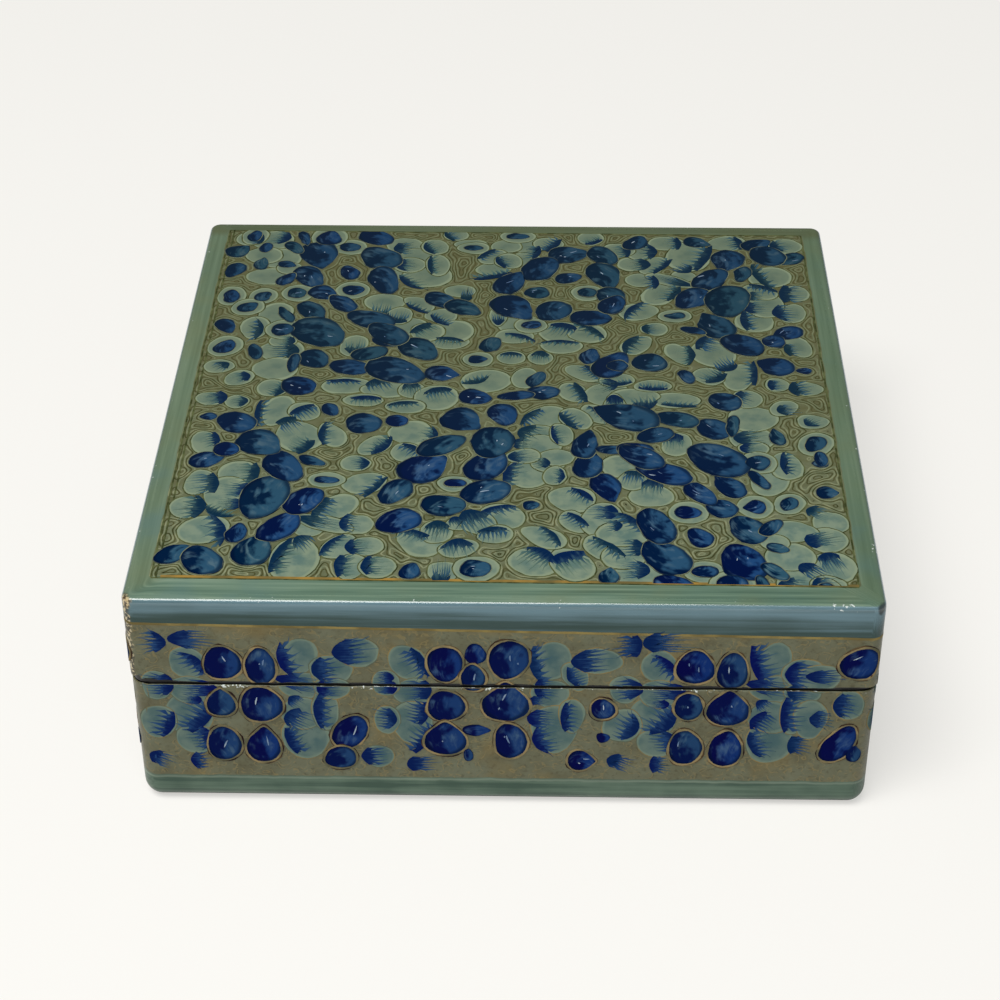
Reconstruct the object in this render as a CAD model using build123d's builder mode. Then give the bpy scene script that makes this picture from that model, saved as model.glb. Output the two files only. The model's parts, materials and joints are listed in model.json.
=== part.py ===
"""Square keepsake box with a lift-off lid: glued boards under a skin of gesso and lacquer.

Millimetres, +Z up. The origin is the middle of the underside and the front faces -Y.
The lid and the base are each a tray of flat boards, skinned on the outside. Thin strips
glued inside the base stand above its rim, and the lid slides down over them. The two
halves are flush outside, so the base's walls are thicker than the lid's by the sliding gap.
"""

import os

from build123d import *

os.makedirs("parts", exist_ok=True)

# ---- driving dimensions, mm --------------------------------------------------------------
box_width = 112.0  # over the painted sides, along X
box_depth = 112.0  # over the painted front and back, along Y
base_height = 24.0  # from the underside to the seam
lid_height = 16.0  # from the seam to the top

coat = 0.5  # gesso and paint over the boards
wall_board = 3.5  # in the lid
floor_board = 3.5
top_board = 3.0

strip_board = 2.0  # the locating strips inside the base
strip_rise = 7.0  # how far they stand above the seam
strip_ease = 0.6  # bevel that leads the lid on to them
sliding_gap = 0.3  # between the strips and the lid, all round

lid_corner_radius = 2.0  # upright corners of the lid
lid_top_radius = 1.0  # edge between the sides and the top
base_corner_radius = 3.0  # upright corners of the base, and its foot

seam_setback = 0.2  # bare board between the skin and the seam, on each side of it
foot_setback = 0.3  # height of the skin's lower edge above the underside

# ---- worked out from them ----------------------------------------------------------------
box_height = base_height + lid_height

boards_width = box_width - 2 * coat
boards_depth = box_depth - 2 * coat
lid_boards_top = box_height - coat
ceiling = lid_boards_top - top_board

base_wall_board = wall_board + sliding_gap
base_inside_width = boards_width - 2 * base_wall_board
base_inside_depth = boards_depth - 2 * base_wall_board

strip_top = base_height + strip_rise

# an edge is rounded within the thickness of its board
rounding_share = 0.9
lid_rounding = min(lid_corner_radius, rounding_share * wall_board)
base_rounding = min(base_corner_radius, rounding_share * min(base_wall_board, floor_board))

LONG_SIDES = (("front", -1), ("back", 1))
SHORT_SIDES = (("left", -1), ("right", 1))


def keep(piece, name):
    """Label a finished piece and write its STEP file."""
    piece.part.label = name
    export_step(piece.part, f"parts/{name}.step")


def frame_of_boards(width, depth, board, bottom, top):
    """Four upright boards: front and back run full width, the sides fit between them."""
    boards = {}
    for side, sign in LONG_SIDES:
        with BuildPart() as long_board:
            with BuildSketch(Plane.XY.offset(bottom)):
                with Locations((0, sign * (depth - board) / 2)):
                    Rectangle(width, board)
            extrude(amount=top - bottom)
        boards[side] = long_board
    for side, sign in SHORT_SIDES:
        with BuildPart() as short_board:
            with BuildSketch(Plane.XY.offset(bottom)):
                with Locations((sign * (width - board) / 2, 0)):
                    Rectangle(board, depth - 2 * board)
            extrude(amount=top - bottom)
        boards[side] = short_board
    return boards


def round_outer_corners(boards, radius):
    """Round the upright edges where the long boards meet the corners of the box."""
    for side, sign in LONG_SIDES:
        with boards[side] as board:
            upright_edges = board.edges().filter_by(Axis.Z).group_by(Axis.Y)
            fillet(upright_edges[0] if sign < 0 else upright_edges[-1], radius)


# ---- base: floor and walls ---------------------------------------------------------------
with BuildPart() as base_floor_board:
    with BuildSketch():
        Rectangle(boards_width, boards_depth)
    extrude(amount=floor_board)
    floor_corners = base_floor_board.edges().filter_by(Axis.Z)
    floor_foot = base_floor_board.edges().group_by(Axis.Z)[0]
    fillet(floor_corners + floor_foot, base_rounding)
keep(base_floor_board, "base_floor_board")

base_walls = frame_of_boards(
    boards_width, boards_depth, base_wall_board, floor_board, base_height
)
round_outer_corners(base_walls, base_rounding)
for side, wall in base_walls.items():
    keep(wall, f"base_{side}_wall")

# ---- base: locating strips ---------------------------------------------------------------
strips = frame_of_boards(
    base_inside_width, base_inside_depth, strip_board, floor_board, strip_top
)
for side, sign in LONG_SIDES:
    with strips[side] as strip:
        top_edges = strip.edges().filter_by(Axis.X).group_by(Axis.Z)[-1]
        chamfer(top_edges.sort_by(Axis.Y)[0 if sign < 0 else -1], strip_ease)
for side, sign in SHORT_SIDES:
    with strips[side] as strip:
        top_edges = strip.edges().filter_by(Axis.Y).group_by(Axis.Z)[-1]
        chamfer(top_edges.sort_by(Axis.X)[0 if sign < 0 else -1], strip_ease)
for side, strip in strips.items():
    keep(strip, f"base_{side}_strip")

# ---- base: skin of gesso and paint round the walls ---------------------------------------
base_skin_top = base_height - seam_setback

with BuildPart() as base_gesso_skin:
    with BuildSketch():
        Rectangle(box_width, box_depth)
    extrude(amount=base_skin_top)
    skin_corners = base_gesso_skin.edges().filter_by(Axis.Z)
    skin_foot = base_gesso_skin.edges().group_by(Axis.Z)[0]
    fillet(skin_corners + skin_foot, base_rounding)
    add(base_floor_board.part, mode=Mode.SUBTRACT)
    with BuildSketch(Plane.XY.offset(floor_board)):
        RectangleRounded(boards_width, boards_depth, base_rounding)
    extrude(amount=base_skin_top - floor_board, mode=Mode.SUBTRACT)
    split(bisect_by=Plane.XY.offset(foot_setback), keep=Keep.TOP)
keep(base_gesso_skin, "base_gesso_skin")

# ---- lid: top and walls ------------------------------------------------------------------
with BuildPart() as lid_top_board:
    with BuildSketch(Plane.XY.offset(ceiling)):
        RectangleRounded(boards_width, boards_depth, lid_rounding)
    extrude(amount=top_board)
    fillet(lid_top_board.faces().sort_by(Axis.Z)[-1].edges(), lid_top_radius)
keep(lid_top_board, "lid_top_board")

lid_walls = frame_of_boards(
    boards_width, boards_depth, wall_board, base_height, ceiling
)
round_outer_corners(lid_walls, lid_rounding)
for side, wall in lid_walls.items():
    keep(wall, f"lid_{side}_wall")

# ---- lid: skin of gesso and paint over the walls and the top -----------------------------
lid_skin_bottom = base_height + seam_setback

with BuildPart() as lid_gesso_skin:
    with BuildSketch(Plane.XY.offset(lid_skin_bottom)):
        RectangleRounded(box_width, box_depth, lid_rounding)
    extrude(amount=box_height - lid_skin_bottom)
    fillet(lid_gesso_skin.faces().sort_by(Axis.Z)[-1].edges(), lid_top_radius)
    with BuildSketch(Plane.XY.offset(lid_skin_bottom)):
        RectangleRounded(boards_width, boards_depth, lid_rounding)
    extrude(amount=ceiling - lid_skin_bottom, mode=Mode.SUBTRACT)
    add(lid_top_board.part, mode=Mode.SUBTRACT)
keep(lid_gesso_skin, "lid_gesso_skin")

print(f"box {box_width:g} x {box_depth:g} x {box_height:g} mm, seam at {base_height:g} mm")
print(f"inside the base {base_inside_width - 2 * strip_board:g} mm wide, ceiling {ceiling:g} mm")
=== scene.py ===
# %% [markdown]
# # A lacquered papier-mache box
# The box is built of thin boards, covered in gesso and paper, painted, and then varnished.
# The boards come from the CAD model and stay exactly where they are. This file makes what a
# painter would add: the painted skin, the flowers stroke by stroke, the lines between them,
# and the light. Everything is in metres, in the same frame as the boards.

import json
import math

import bmesh
import bpy
import numpy as np
from mathutils import Matrix, Vector

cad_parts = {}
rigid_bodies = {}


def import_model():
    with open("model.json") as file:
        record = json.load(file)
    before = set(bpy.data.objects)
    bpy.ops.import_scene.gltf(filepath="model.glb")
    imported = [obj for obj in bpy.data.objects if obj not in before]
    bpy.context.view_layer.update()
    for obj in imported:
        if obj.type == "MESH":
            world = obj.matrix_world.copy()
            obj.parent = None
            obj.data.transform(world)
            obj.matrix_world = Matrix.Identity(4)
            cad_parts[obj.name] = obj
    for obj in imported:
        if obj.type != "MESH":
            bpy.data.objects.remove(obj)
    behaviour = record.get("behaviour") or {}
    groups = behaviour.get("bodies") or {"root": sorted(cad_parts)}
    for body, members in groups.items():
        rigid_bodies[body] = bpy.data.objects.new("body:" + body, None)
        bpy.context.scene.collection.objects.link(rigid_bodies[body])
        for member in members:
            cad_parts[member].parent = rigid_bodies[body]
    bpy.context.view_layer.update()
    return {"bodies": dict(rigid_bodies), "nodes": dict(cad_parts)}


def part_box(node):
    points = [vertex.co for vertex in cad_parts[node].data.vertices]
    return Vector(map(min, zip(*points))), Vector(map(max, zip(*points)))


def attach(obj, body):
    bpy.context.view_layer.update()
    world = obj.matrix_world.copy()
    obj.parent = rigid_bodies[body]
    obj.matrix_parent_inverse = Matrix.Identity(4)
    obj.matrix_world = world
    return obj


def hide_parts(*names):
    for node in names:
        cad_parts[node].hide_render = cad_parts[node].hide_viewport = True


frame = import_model()
MM = 0.001
print(len(frame["nodes"]), "boards and skins, on the bodies", ", ".join(frame["bodies"]))

# %% [markdown]
# ## Where the paint lies
# The outer faces are read from the boards' own boxes, so the paint follows them if they
# change. The skin is kept a hair inside those faces: the strokes that lie on it then end
# flush with them, and the box keeps its size.

# %% Measure the skins
lid_low, lid_high = (Vector(corner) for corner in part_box("lid_gesso_skin"))
base_high = Vector(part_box("base_gesso_skin")[1])
BOX_TOP = lid_high.z
PAINT_DEPTH = 0.15 * MM
COAT = 0.5 * MM
SKIN_ROOT = 0.1 * MM  # how far the skin reaches into the boards behind it


class Shell:
    """The rounded square that a body's skin follows: half its flat width, and its corner."""

    def __init__(self, half, corner):
        self.half = half
        self.flat = half - corner
        self.corner = corner
        self.painted_corner = corner - PAINT_DEPTH


lid_shell = Shell(lid_high.x, corner=2.0 * MM)
base_shell = Shell(base_high.x, corner=3.0 * MM)
LID_EDGE = 1.0 * MM  # rounding between the sides and the top
print(f"lid {lid_shell.half / MM * 2:.1f} mm wide, top at {BOX_TOP / MM:.1f} mm")

# %% [markdown]
# ## The camera
# A long lens from 0.4 metres away, looking down at 36 degrees. The matrix is put together
# from the three directions that are set on a tripod's head: how far the camera looks down, how
# far it is turned, and how far it leans.

# %% Set up the camera
FRAME_PIXELS = 1000
focal_pixels = 2336.9
camera_place = Vector((6.05, -321.4, 251.24)) * MM
pitch, yaw, roll = (math.radians(angle) for angle in (35.98, -1.37, -0.285))

ahead = math.cos(pitch)
forward = Vector((math.sin(yaw) * ahead, math.cos(yaw) * ahead, -math.sin(pitch)))
level = Vector((math.cos(yaw), -math.sin(yaw), 0.0))
over = level.cross(forward)
right = level * math.cos(roll) + over * math.sin(roll)
up = over * math.cos(roll) - level * math.sin(roll)

camera_data = bpy.data.cameras.new("camera")
camera_data.sensor_width = 36.0
camera_data.lens = camera_data.sensor_width * focal_pixels / FRAME_PIXELS
camera = bpy.data.objects.new("camera", camera_data)
aim = Matrix((right, up, -forward)).transposed().to_4x4()
camera.matrix_world = Matrix.Translation(camera_place) @ aim
bpy.context.scene.collection.objects.link(camera)
bpy.context.scene.camera = camera
print(f"lens {camera_data.lens:.1f} mm")

# %% [markdown]
# ## Node trees as sums
# A material or a geometry recipe is a tree of nodes. Written out link by link it is hard to
# read, so a Wire stands for one output socket and Python's own signs work on it: `1 - mask`
# adds a Math node. Every other node comes from `Tree.node`.

# %% Helpers for node trees
class Wire:
    """One output socket. Sums on it add Math nodes to its tree."""

    def __init__(self, tree, socket):
        self.tree = tree
        self.socket = socket

    def math(self, operation, *values):
        return self.tree.node("ShaderNodeMath", values, operation=operation)

    def __add__(self, other):
        return self.math("ADD", self, other)

    def __mul__(self, other):
        return self.math("MULTIPLY", self, other)

    def __sub__(self, other):
        return self.math("SUBTRACT", self, other)

    def __rsub__(self, other):
        return self.math("SUBTRACT", other, self)

    def __truediv__(self, other):
        return self.math("DIVIDE", self, other)

    def __pow__(self, other):
        return self.math("POWER", self, other)

    def __abs__(self):
        return self.math("ABSOLUTE", self)

    __radd__ = __add__
    __rmul__ = __mul__

    def most(self, other):
        return self.math("MAXIMUM", self, other)

    def rise(self, start, end):
        """0 below start, 1 above end, and a smooth slope between them."""
        values = {"Value": self, "From Min": start, "From Max": end}
        return self.tree.node("ShaderNodeMapRange", values, interpolation_type="SMOOTHSTEP")

    def step(self, place, blur):
        """0 below a place and 1 above it, with a narrow slope across it."""
        return self.rise(place - blur, place + blur)


class Tree:
    """A node tree, with one method that adds any node."""

    def __init__(self, tree):
        self.tree = tree

    def join(self, value, socket):
        if isinstance(value, Wire):
            self.tree.links.new(value.socket, socket)
        elif value is not None:
            socket.default_value = value

    def node(self, kind, values=(), out=0, stops=None, **settings):
        made = self.tree.nodes.new(kind)
        for name, setting in settings.items():
            setattr(made, name, setting)
        for number, (place, colour) in enumerate(stops or ()):
            elements = made.color_ramp.elements
            stop = elements[number] if number < 2 else elements.new(place)
            stop.position = place
            stop.color = colour
        pairs = values.items() if isinstance(values, dict) else enumerate(values)
        for key, value in pairs:
            self.join(value, made.inputs[key])
        return Wire(self, made.outputs[out])

    def split(self, vector):
        first = self.node("ShaderNodeSeparateXYZ", [vector])
        return [Wire(self, output) for output in first.socket.node.outputs]

    def vector(self, x, y, z=0.0):
        return self.node("ShaderNodeCombineXYZ", [x, y, z])

    def noise(self, vector, scale, detail=2.0, roughness=0.5):
        values = {"Vector": vector, "Scale": scale, "Detail": detail, "Roughness": roughness}
        return self.node("ShaderNodeTexNoise", values)


# %% [markdown]
# ## Paints
# Colours are mixed as a painter reads them off a card, 0 to 255, and turned into the linear
# values that Blender's shaders use. All the paint is under one varnish, so every paint shares
# the same satin gloss, set straight on the shader's sockets.

# %% Helpers for materials
def paint(red, green, blue):
    """A colour read off a screen, as the linear values of a Blender socket."""
    linear = []
    for channel in (red, green, blue):
        level = channel / 255
        linear.append(level / 12.92 if level <= 0.04045 else ((level + 0.055) / 1.055) ** 2.4)
    return (*linear, 1.0)


VARNISH = {
    "Roughness": 0.36, "Specular IOR Level": 0.1, "Coat Weight": 0.06, "Coat Roughness": 0.12,
}


class Finish(Tree):
    """A material with its Principled shader."""

    def __init__(self, name, **constants):
        self.material = bpy.data.materials.new(name)
        self.material.use_nodes = True
        super().__init__(self.material.node_tree)
        self.shader = self.tree.nodes["Principled BSDF"]
        for socket, value in {**VARNISH, **constants}.items():
            self.shader.inputs[socket].default_value = value

    def place(self):
        """Object coordinates in millimetres."""
        where = self.node("ShaderNodeTexCoord", out="Object")
        return self.node("ShaderNodeVectorMath", {0: where, "Scale": 1 / MM}, operation="SCALE")

    def attribute(self, name, out="Fac"):
        return self.node("ShaderNodeAttribute", out=out, attribute_name=name)

    def mix(self, factor, under, over):
        return self.node("ShaderNodeMix", {0: factor, 6: under, 7: over}, out=2, data_type="RGBA")

    def colour(self, value):
        self.join(value, self.shader.inputs["Base Color"])

    def bump(self, height, depth, strength=0.5):
        values = {"Strength": strength, "Distance": depth, "Height": height}
        self.join(self.node("ShaderNodeBump", values), self.shader.inputs["Normal"])


# %% [markdown]
# ### The board
# Inside, the boards are brushed with black lacquer. It is never quite black: it shows the
# grain of the board under it, dust, and rub marks on the edges.

# %% Black lacquered board
def lacquered_board():
    board = Finish("black lacquered board", **{"Specular IOR Level": 0.4})
    where = board.place()
    x, y, z = board.split(where)
    grain = board.noise(board.vector(x * 0.25, y * 2.2, z * 2.2), 1.4, detail=5.0)
    dust = board.noise(where, 0.35, detail=4.0)
    lacquer = board.mix(grain, paint(13, 13, 15), paint(34, 31, 30))
    lacquer = board.mix(dust.rise(0.52, 0.8) * 0.5, lacquer, paint(72, 64, 56))
    # painted shade: the lacquer is painted near black close to the seam, where the gap between lid
    # and base is dark
    seam_shade = abs(z - base_high.z / MM - 0.2).rise(1.6, 0.9)
    board.colour(board.mix(seam_shade * 0.9, lacquer, paint(5, 5, 6)))
    board.join(0.32 + dust * 0.25, board.shader.inputs["Roughness"])
    board.bump(grain, 0.12 * MM, strength=0.4)
    return board.material


board_finish = lacquered_board()
for name, node in frame["nodes"].items():
    if name.endswith(("board", "wall", "strip")):
        for slot in node.material_slots:
            slot.material = board_finish
print("lacquered:", board_finish.name)

# %% [markdown]
# ## The painted skins
# Each skin is one closed shell laid ring by ring round the box. A ring is a rounded square,
# given by how far it stands in from the outside and how high it lies, so the same function
# makes the lid's rounded top edge and the base's rounded foot. The edges that meet at the
# seam were cut open with a knife after painting, so they wander a little, and at the front
# left corner the lid's edge has crumbled away.

# %% Sides, and the lines that the cut follows
FRONT, RIGHT, BACK, LEFT = range(4)
ALONG = np.array([(1, 0), (0, 1), (-1, 0), (0, -1)], float)  # the way along each side
OUTWARD = np.array([(0, -1), (1, 0), (0, 1), (-1, 0)], float)
CORNER_FACETS = 8
QUARTER = math.pi / 2
SIDE_APART = 112.0  # how far along its waves each side begins after the last
WAVES = ((0.61, 1.0), (0.233, 2.1), (1.7, 5.3))  # radians to a millimetre, share of the seed
CRUMB_HEIGHT = 0.95 * MM
CRUMB_REACH = 5.5 * MM


def wander(side, along, size, seed):
    """A hand-cut line's wander: a few waves of unlike lengths, from 0 to about size."""
    place = along / MM + side * SIDE_APART
    waves = sum(np.sin(place * pace + seed * share) for pace, share in WAVES)
    return size * (0.5 + waves / 6)


def crumbled(side, along):
    """How much of the lid's lower edge is lost. Only the front left corner has crumbled."""
    from_corner = {FRONT: along + lid_shell.half, LEFT: lid_shell.half - along}.get(side)
    if from_corner is None:
        return 0.0 * along
    ragged = 0.75 + 0.25 * np.sin(from_corner / MM * 2.3 + side)
    return CRUMB_HEIGHT * ragged * np.exp(-((from_corner / CRUMB_REACH) ** 2))


def lid_lip(side, along):
    return lid_low.z + 0.08 * MM + wander(side, along, 0.22 * MM, seed=1.0) + crumbled(side, along)


def base_brim(side, along):
    return base_high.z - 0.04 * MM - wander(side, along, 0.16 * MM, seed=4.0)


# %% Lay a skin ring by ring
SIDE_STEPS = 56


def ring(shell, inset):
    """A rounded square as rows of x and y, with the side and the place along it of each point."""
    radius = shell.corner - inset
    points, sides, alongs = [], [], []
    for side in range(4):
        for along in np.linspace(-shell.flat, shell.flat, SIDE_STEPS + 1):
            points.append(along * ALONG[side] + (shell.flat + radius) * OUTWARD[side])
            sides.append(side)
            alongs.append(along)
        centre = shell.flat * (ALONG[side] + OUTWARD[side])
        for facet in range(1, CORNER_FACETS):
            angle = facet / CORNER_FACETS * QUARTER
            outwards = math.cos(angle) * OUTWARD[side] + math.sin(angle) * ALONG[side]
            points.append(centre + radius * outwards)
            sides.append(side)
            alongs.append(shell.flat + shell.corner * angle)
    return np.array(points), np.array(sides), np.array(alongs)


def laid_skin(name, shell, rows, capped):
    """Join the rings of rows: each an inset, a height, and the cut line it is measured from."""
    mesh = bmesh.new()
    loops = []
    for inset, height, edge in rows:
        points, sides, alongs = ring(shell, inset)
        heights = np.full(len(points), height)
        if edge:
            heights += [float(edge(side, along)) for side, along in zip(sides, alongs)]
        loops.append([mesh.verts.new((*point, level)) for point, level in zip(points, heights)])
    pairs = list(zip(loops, loops[1:]))
    if capped:
        mesh.faces.new(loops[0])
        mesh.faces.new(loops[-1])
    else:
        pairs.append((loops[-1], loops[0]))
    for low, high in pairs:
        for here in range(len(low)):
            there = (here + 1) % len(low)
            mesh.faces.new((low[here], low[there], high[there], high[here]))
    bmesh.ops.recalc_face_normals(mesh, faces=mesh.faces)
    data = bpy.data.meshes.new(name)
    mesh.to_mesh(data)
    mesh.free()
    data.shade_smooth()
    data.set_sharp_from_angle(angle=math.radians(35))
    piece = bpy.data.objects.new(name, data)
    bpy.context.scene.collection.objects.link(piece)
    return piece


ARC_STEPS = 8


def arc_rows(centre_inset, centre_height, radius, end):
    """Rows along an arc, from straight outwards up or down to its end, in degrees."""
    angles = [math.radians(end * step / ARC_STEPS) for step in range(ARC_STEPS + 1)]
    return [
        (centre_inset - radius * math.cos(angle), centre_height + radius * math.sin(angle), None)
        for angle in angles
    ]


# %% The lid's skin
root = COAT + SKIN_ROOT
edge_round = 0.12 * MM
TOP_INSET = 1.9 * MM  # of the last ring before the flat top
LID_RISE = BOX_TOP - lid_low.z
lid_rows = [
    (root, BOX_TOP - root, None),
    (root, 0.0, lid_lip),
    (PAINT_DEPTH + edge_round, 0.0, lid_lip),
    (PAINT_DEPTH, edge_round, lid_lip),
]
lid_rows += [(PAINT_DEPTH, lid_low.z + share * LID_RISE, None) for share in (0.1, 0.35, 0.6, 0.82)]
lid_rows += arc_rows(LID_EDGE, BOX_TOP - LID_EDGE, LID_EDGE - PAINT_DEPTH, 90.0)
lid_rows += [(TOP_INSET, BOX_TOP - PAINT_DEPTH, None)]
lid_skin = laid_skin("lid_painted_skin", lid_shell, lid_rows, capped=True)
print(lid_skin.name, len(lid_skin.data.polygons), "faces")

# %% The base's skin
foot_radius = base_shell.corner
FOOT_ANGLE = -68.0  # where the skin stops on its way round the foot
base_rows = [
    (root, 5.0 * MM, None),
    (root, 0.0, base_brim),
    (PAINT_DEPTH + edge_round, 0.0, base_brim),
    (PAINT_DEPTH, -edge_round, base_brim),
]
base_rows += [(PAINT_DEPTH, share * base_high.z, None) for share in (0.93, 0.75, 0.5, 0.26)]
base_rows += arc_rows(foot_radius, foot_radius, foot_radius - PAINT_DEPTH, FOOT_ANGLE)
base_rows += [(2.3 * MM, 0.6 * MM, None), (1.1 * MM, 2.8 * MM, None)]  # and up inside the boards
base_skin = laid_skin("base_painted_skin", base_shell, base_rows, capped=False)
print(base_skin.name, len(base_skin.data.polygons), "faces")

# %% [markdown]
# ### The ground colours
# The borders are sea green, laid on with a wide brush that was drawn along each edge, so its
# streaks run along the border. The field on the lid is a pale tan, and the sides are a
# browner olive. Where the box has been knocked, the white gesso shows.

# %% Where the borders are, in millimetres
HALF = lid_shell.half / MM
TOP = BOX_TOP / MM
SEAM = (lid_low.z + base_high.z) / 2 / MM
FIELD_LEFT, FIELD_RIGHT = -52.3, 52.4
FIELD_FRONT, FIELD_BACK = -50.65, 52.7
FIELD_LEAN = -0.007  # the front and back lines were not ruled quite square
UPPER_BAND = 34.7
BAND_LEAN = -0.0145  # nor was the line round the lid: it is lower on the right
LOWER_BAND = 5.6
BLACK_FOOT = 1.4
TOP_START = TOP - 0.5


def ramp(finish, factor, *colours):
    """Three colours, dark to light, over the middle of a noise."""
    stops = [(place, paint(*colour)) for place, colour in zip((0.3, 0.5, 0.7), colours)]
    return finish.node("ShaderNodeValToRGB", [factor], stops=stops)


# %% The border on the lid, and the bands round the sides
def brush_marks(ground, x, y, z):
    """The streaks of a wide brush drawn along each border, and 1 on the left and right ones."""
    beside = (abs(x) - abs(y)).rise(-2.0, 2.0)
    along = y * beside + x * (1 - beside)
    across = x * beside + y * (1 - beside)
    streaks = ground.vector(along * 0.035, across * 1.3, z * 1.3)
    return ground.noise(streaks, 1.0, detail=4.0), beside


def border_green(ground, x, y, brush, cloud, beside):
    green = ramp(ground, brush, (70, 94, 80), (94, 118, 100), (120, 140, 120))
    green = ground.mix(beside * 0.5, green, paint(100, 112, 84))
    green = ground.mix(cloud.rise(0.5, 0.75) * 0.4, green, paint(106, 114, 82))
    green = ground.mix(cloud.rise(0.5, 0.25) * 0.4, green, paint(80, 110, 112))
    green = ground.mix(x.rise(50.0, 54.0) * 0.3, green, paint(72, 96, 74))
    return ground.mix(y.rise(50.0, 53.0) * 0.7, green, paint(84, 88, 58))


def band_colour(ground, z, band_z, wavy_z, brush, cloud):
    """Blue-green above the lid's gold line, and green with a pale edge round the foot."""
    # painted reflection: the band grows lighter towards the lid's rounded top edge, over the
    # brush's streaks
    light = band_z.rise(UPPER_BAND, TOP_START) * 0.6 + brush * 0.9 + cloud * 0.3
    band = ground.mix(light.rise(0.5, 1.35), paint(44, 64, 60), paint(98, 124, 133))
    foot = ground.mix((brush + cloud).rise(0.75, 1.25), paint(52, 74, 62), paint(88, 108, 92))
    pale_edge = abs(wavy_z - LOWER_BAND + 0.4).rise(0.4, 0.0)
    foot = ground.mix(pale_edge * 0.4, foot, paint(134, 146, 128))
    foot = ground.mix(z.rise(BLACK_FOOT + 0.2, BLACK_FOOT - 0.2), foot, paint(14, 16, 16))
    return ground.mix(z.rise(10.0, 14.0), foot, band)


# %% The fields
def field_tan(ground, where, y, wash):
    tan = ramp(ground, wash, (84, 86, 58), (96, 101, 74), (107, 113, 89))
    stipple = ground.noise(where, 1.6, detail=3.0)
    tan = ground.mix(stipple.rise(0.45, 0.7) * 0.35, tan, paint(88, 86, 52))
    # darker and duller towards the lid's back
    return ground.mix(y.rise(-45.0, 40.0) * 0.55, tan, paint(86, 82, 50))


def side_brown(ground, where, wash, band_z):
    x, y, z = ground.split(where)
    side = ramp(ground, wash, (82, 79, 56), (92, 92, 70), (98, 101, 81))
    stipple = ground.noise(where, 1.6, detail=3.0)
    side = ground.mix(stipple.rise(0.5, 0.75) * 0.5, side, paint(62, 58, 38))
    ochre = ground.noise(where, 0.12, detail=3.0)
    ochre = ochre + band_z.rise(UPPER_BAND - 2.5, UPPER_BAND) * 0.1
    side = ground.mix(ochre.rise(0.55, 0.75) * 0.4, side, paint(120, 100, 52))
    vein = ground.noise(ground.vector(x, y, z * 1.2), 0.32, detail=2.0)
    veined = abs(vein - 0.5).rise(0.022, 0.006).most(abs(vein - 0.6).rise(0.022, 0.006))
    return ground.mix(veined * stipple.rise(0.35, 0.6) * 0.4, side, paint(134, 118, 74))


# %% Knocks and wear, where the white gesso or the dark board shows, and painted sparkle
def knocked(ground, where, colour, edge):
    x, y, z = ground.split(where)
    chalk = ground.noise(where, 1.9, detail=2.0)
    rough = ground.noise(where, 0.9, detail=3.0)

    def near(place_x, place_y, place_z, size):
        distance = ((x - place_x) ** 2 + (y - place_y) ** 2 + (z - place_z) ** 2) ** 0.5
        return (distance / size + rough * 1.6).rise(2.0, 1.5)

    # white flecks of chipped gesso, and on the top edge also painted sparkle of the varnish
    chips_and_sparkle = chalk + ground.noise(where, 0.13) * 0.5
    by_seam = abs(z - base_high.z / MM + 0.2).rise(0.5, 0.2)
    fleck = (chips_and_sparkle.rise(0.99, 1.03) * edge).most(chips_and_sparkle.rise(0.84, 0.9) * by_seam)
    colour = ground.mix(fleck * 0.85, colour, paint(206, 212, 208))

    # the front left corner, rubbed along its upright and chipped at its ends
    upright = abs(x + HALF - 0.4) + abs(y + HALF - 0.4) + rough * 2.4
    upright = upright.rise(2.4, 1.7) * z.rise(SEAM + 0.5, SEAM + 2.0)
    colour = ground.mix(upright * 0.75, colour, paint(58, 52, 42))
    colour = ground.mix(upright * chalk.rise(0.5, 0.56), colour, paint(188, 174, 140))
    from_corner = ((x + HALF) ** 2 + (y + HALF) ** 2) ** 0.5
    worn = (1 - (from_corner + chalk * 9).rise(5.0, 12.0)) * z.step(SEAM, 0.1)
    worn = worn * (1 - (z - lid_low.z / MM + chalk * 2).rise(1.0, 2.2))
    chipped = worn.most(near(0.5 - HALF, 0.4 - HALF, TOP - 0.7, 1.3))
    bare = ground.mix(chalk.rise(0.4, 0.6), paint(70, 58, 40), paint(190, 170, 130))
    colour = ground.mix(chipped, colour, bare)
    dent = near(HALF - 0.6, 0.5 - HALF, TOP - 0.8, 0.9)
    return ground.mix(dent * 0.8, colour, paint(40, 42, 38))


def knife_cut(x, y, z):
    """1 on the edges that the knife cut at the seam, which lie inside the outer faces."""
    lid_side = z.rise(SEAM, SEAM + 0.1)
    flat, corner = base_shell.flat / MM, base_shell.corner / MM
    past_x, past_y = ((abs(place) - (flat + lid_side)).most(0.0) for place in (x, y))
    depth = corner - lid_side - (past_x ** 2 + past_y ** 2) ** 0.5
    return depth.rise(0.28, 0.36) * z.rise(3.2, 3.6) * z.rise(TOP - 1.0, TOP - 1.4)


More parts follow.
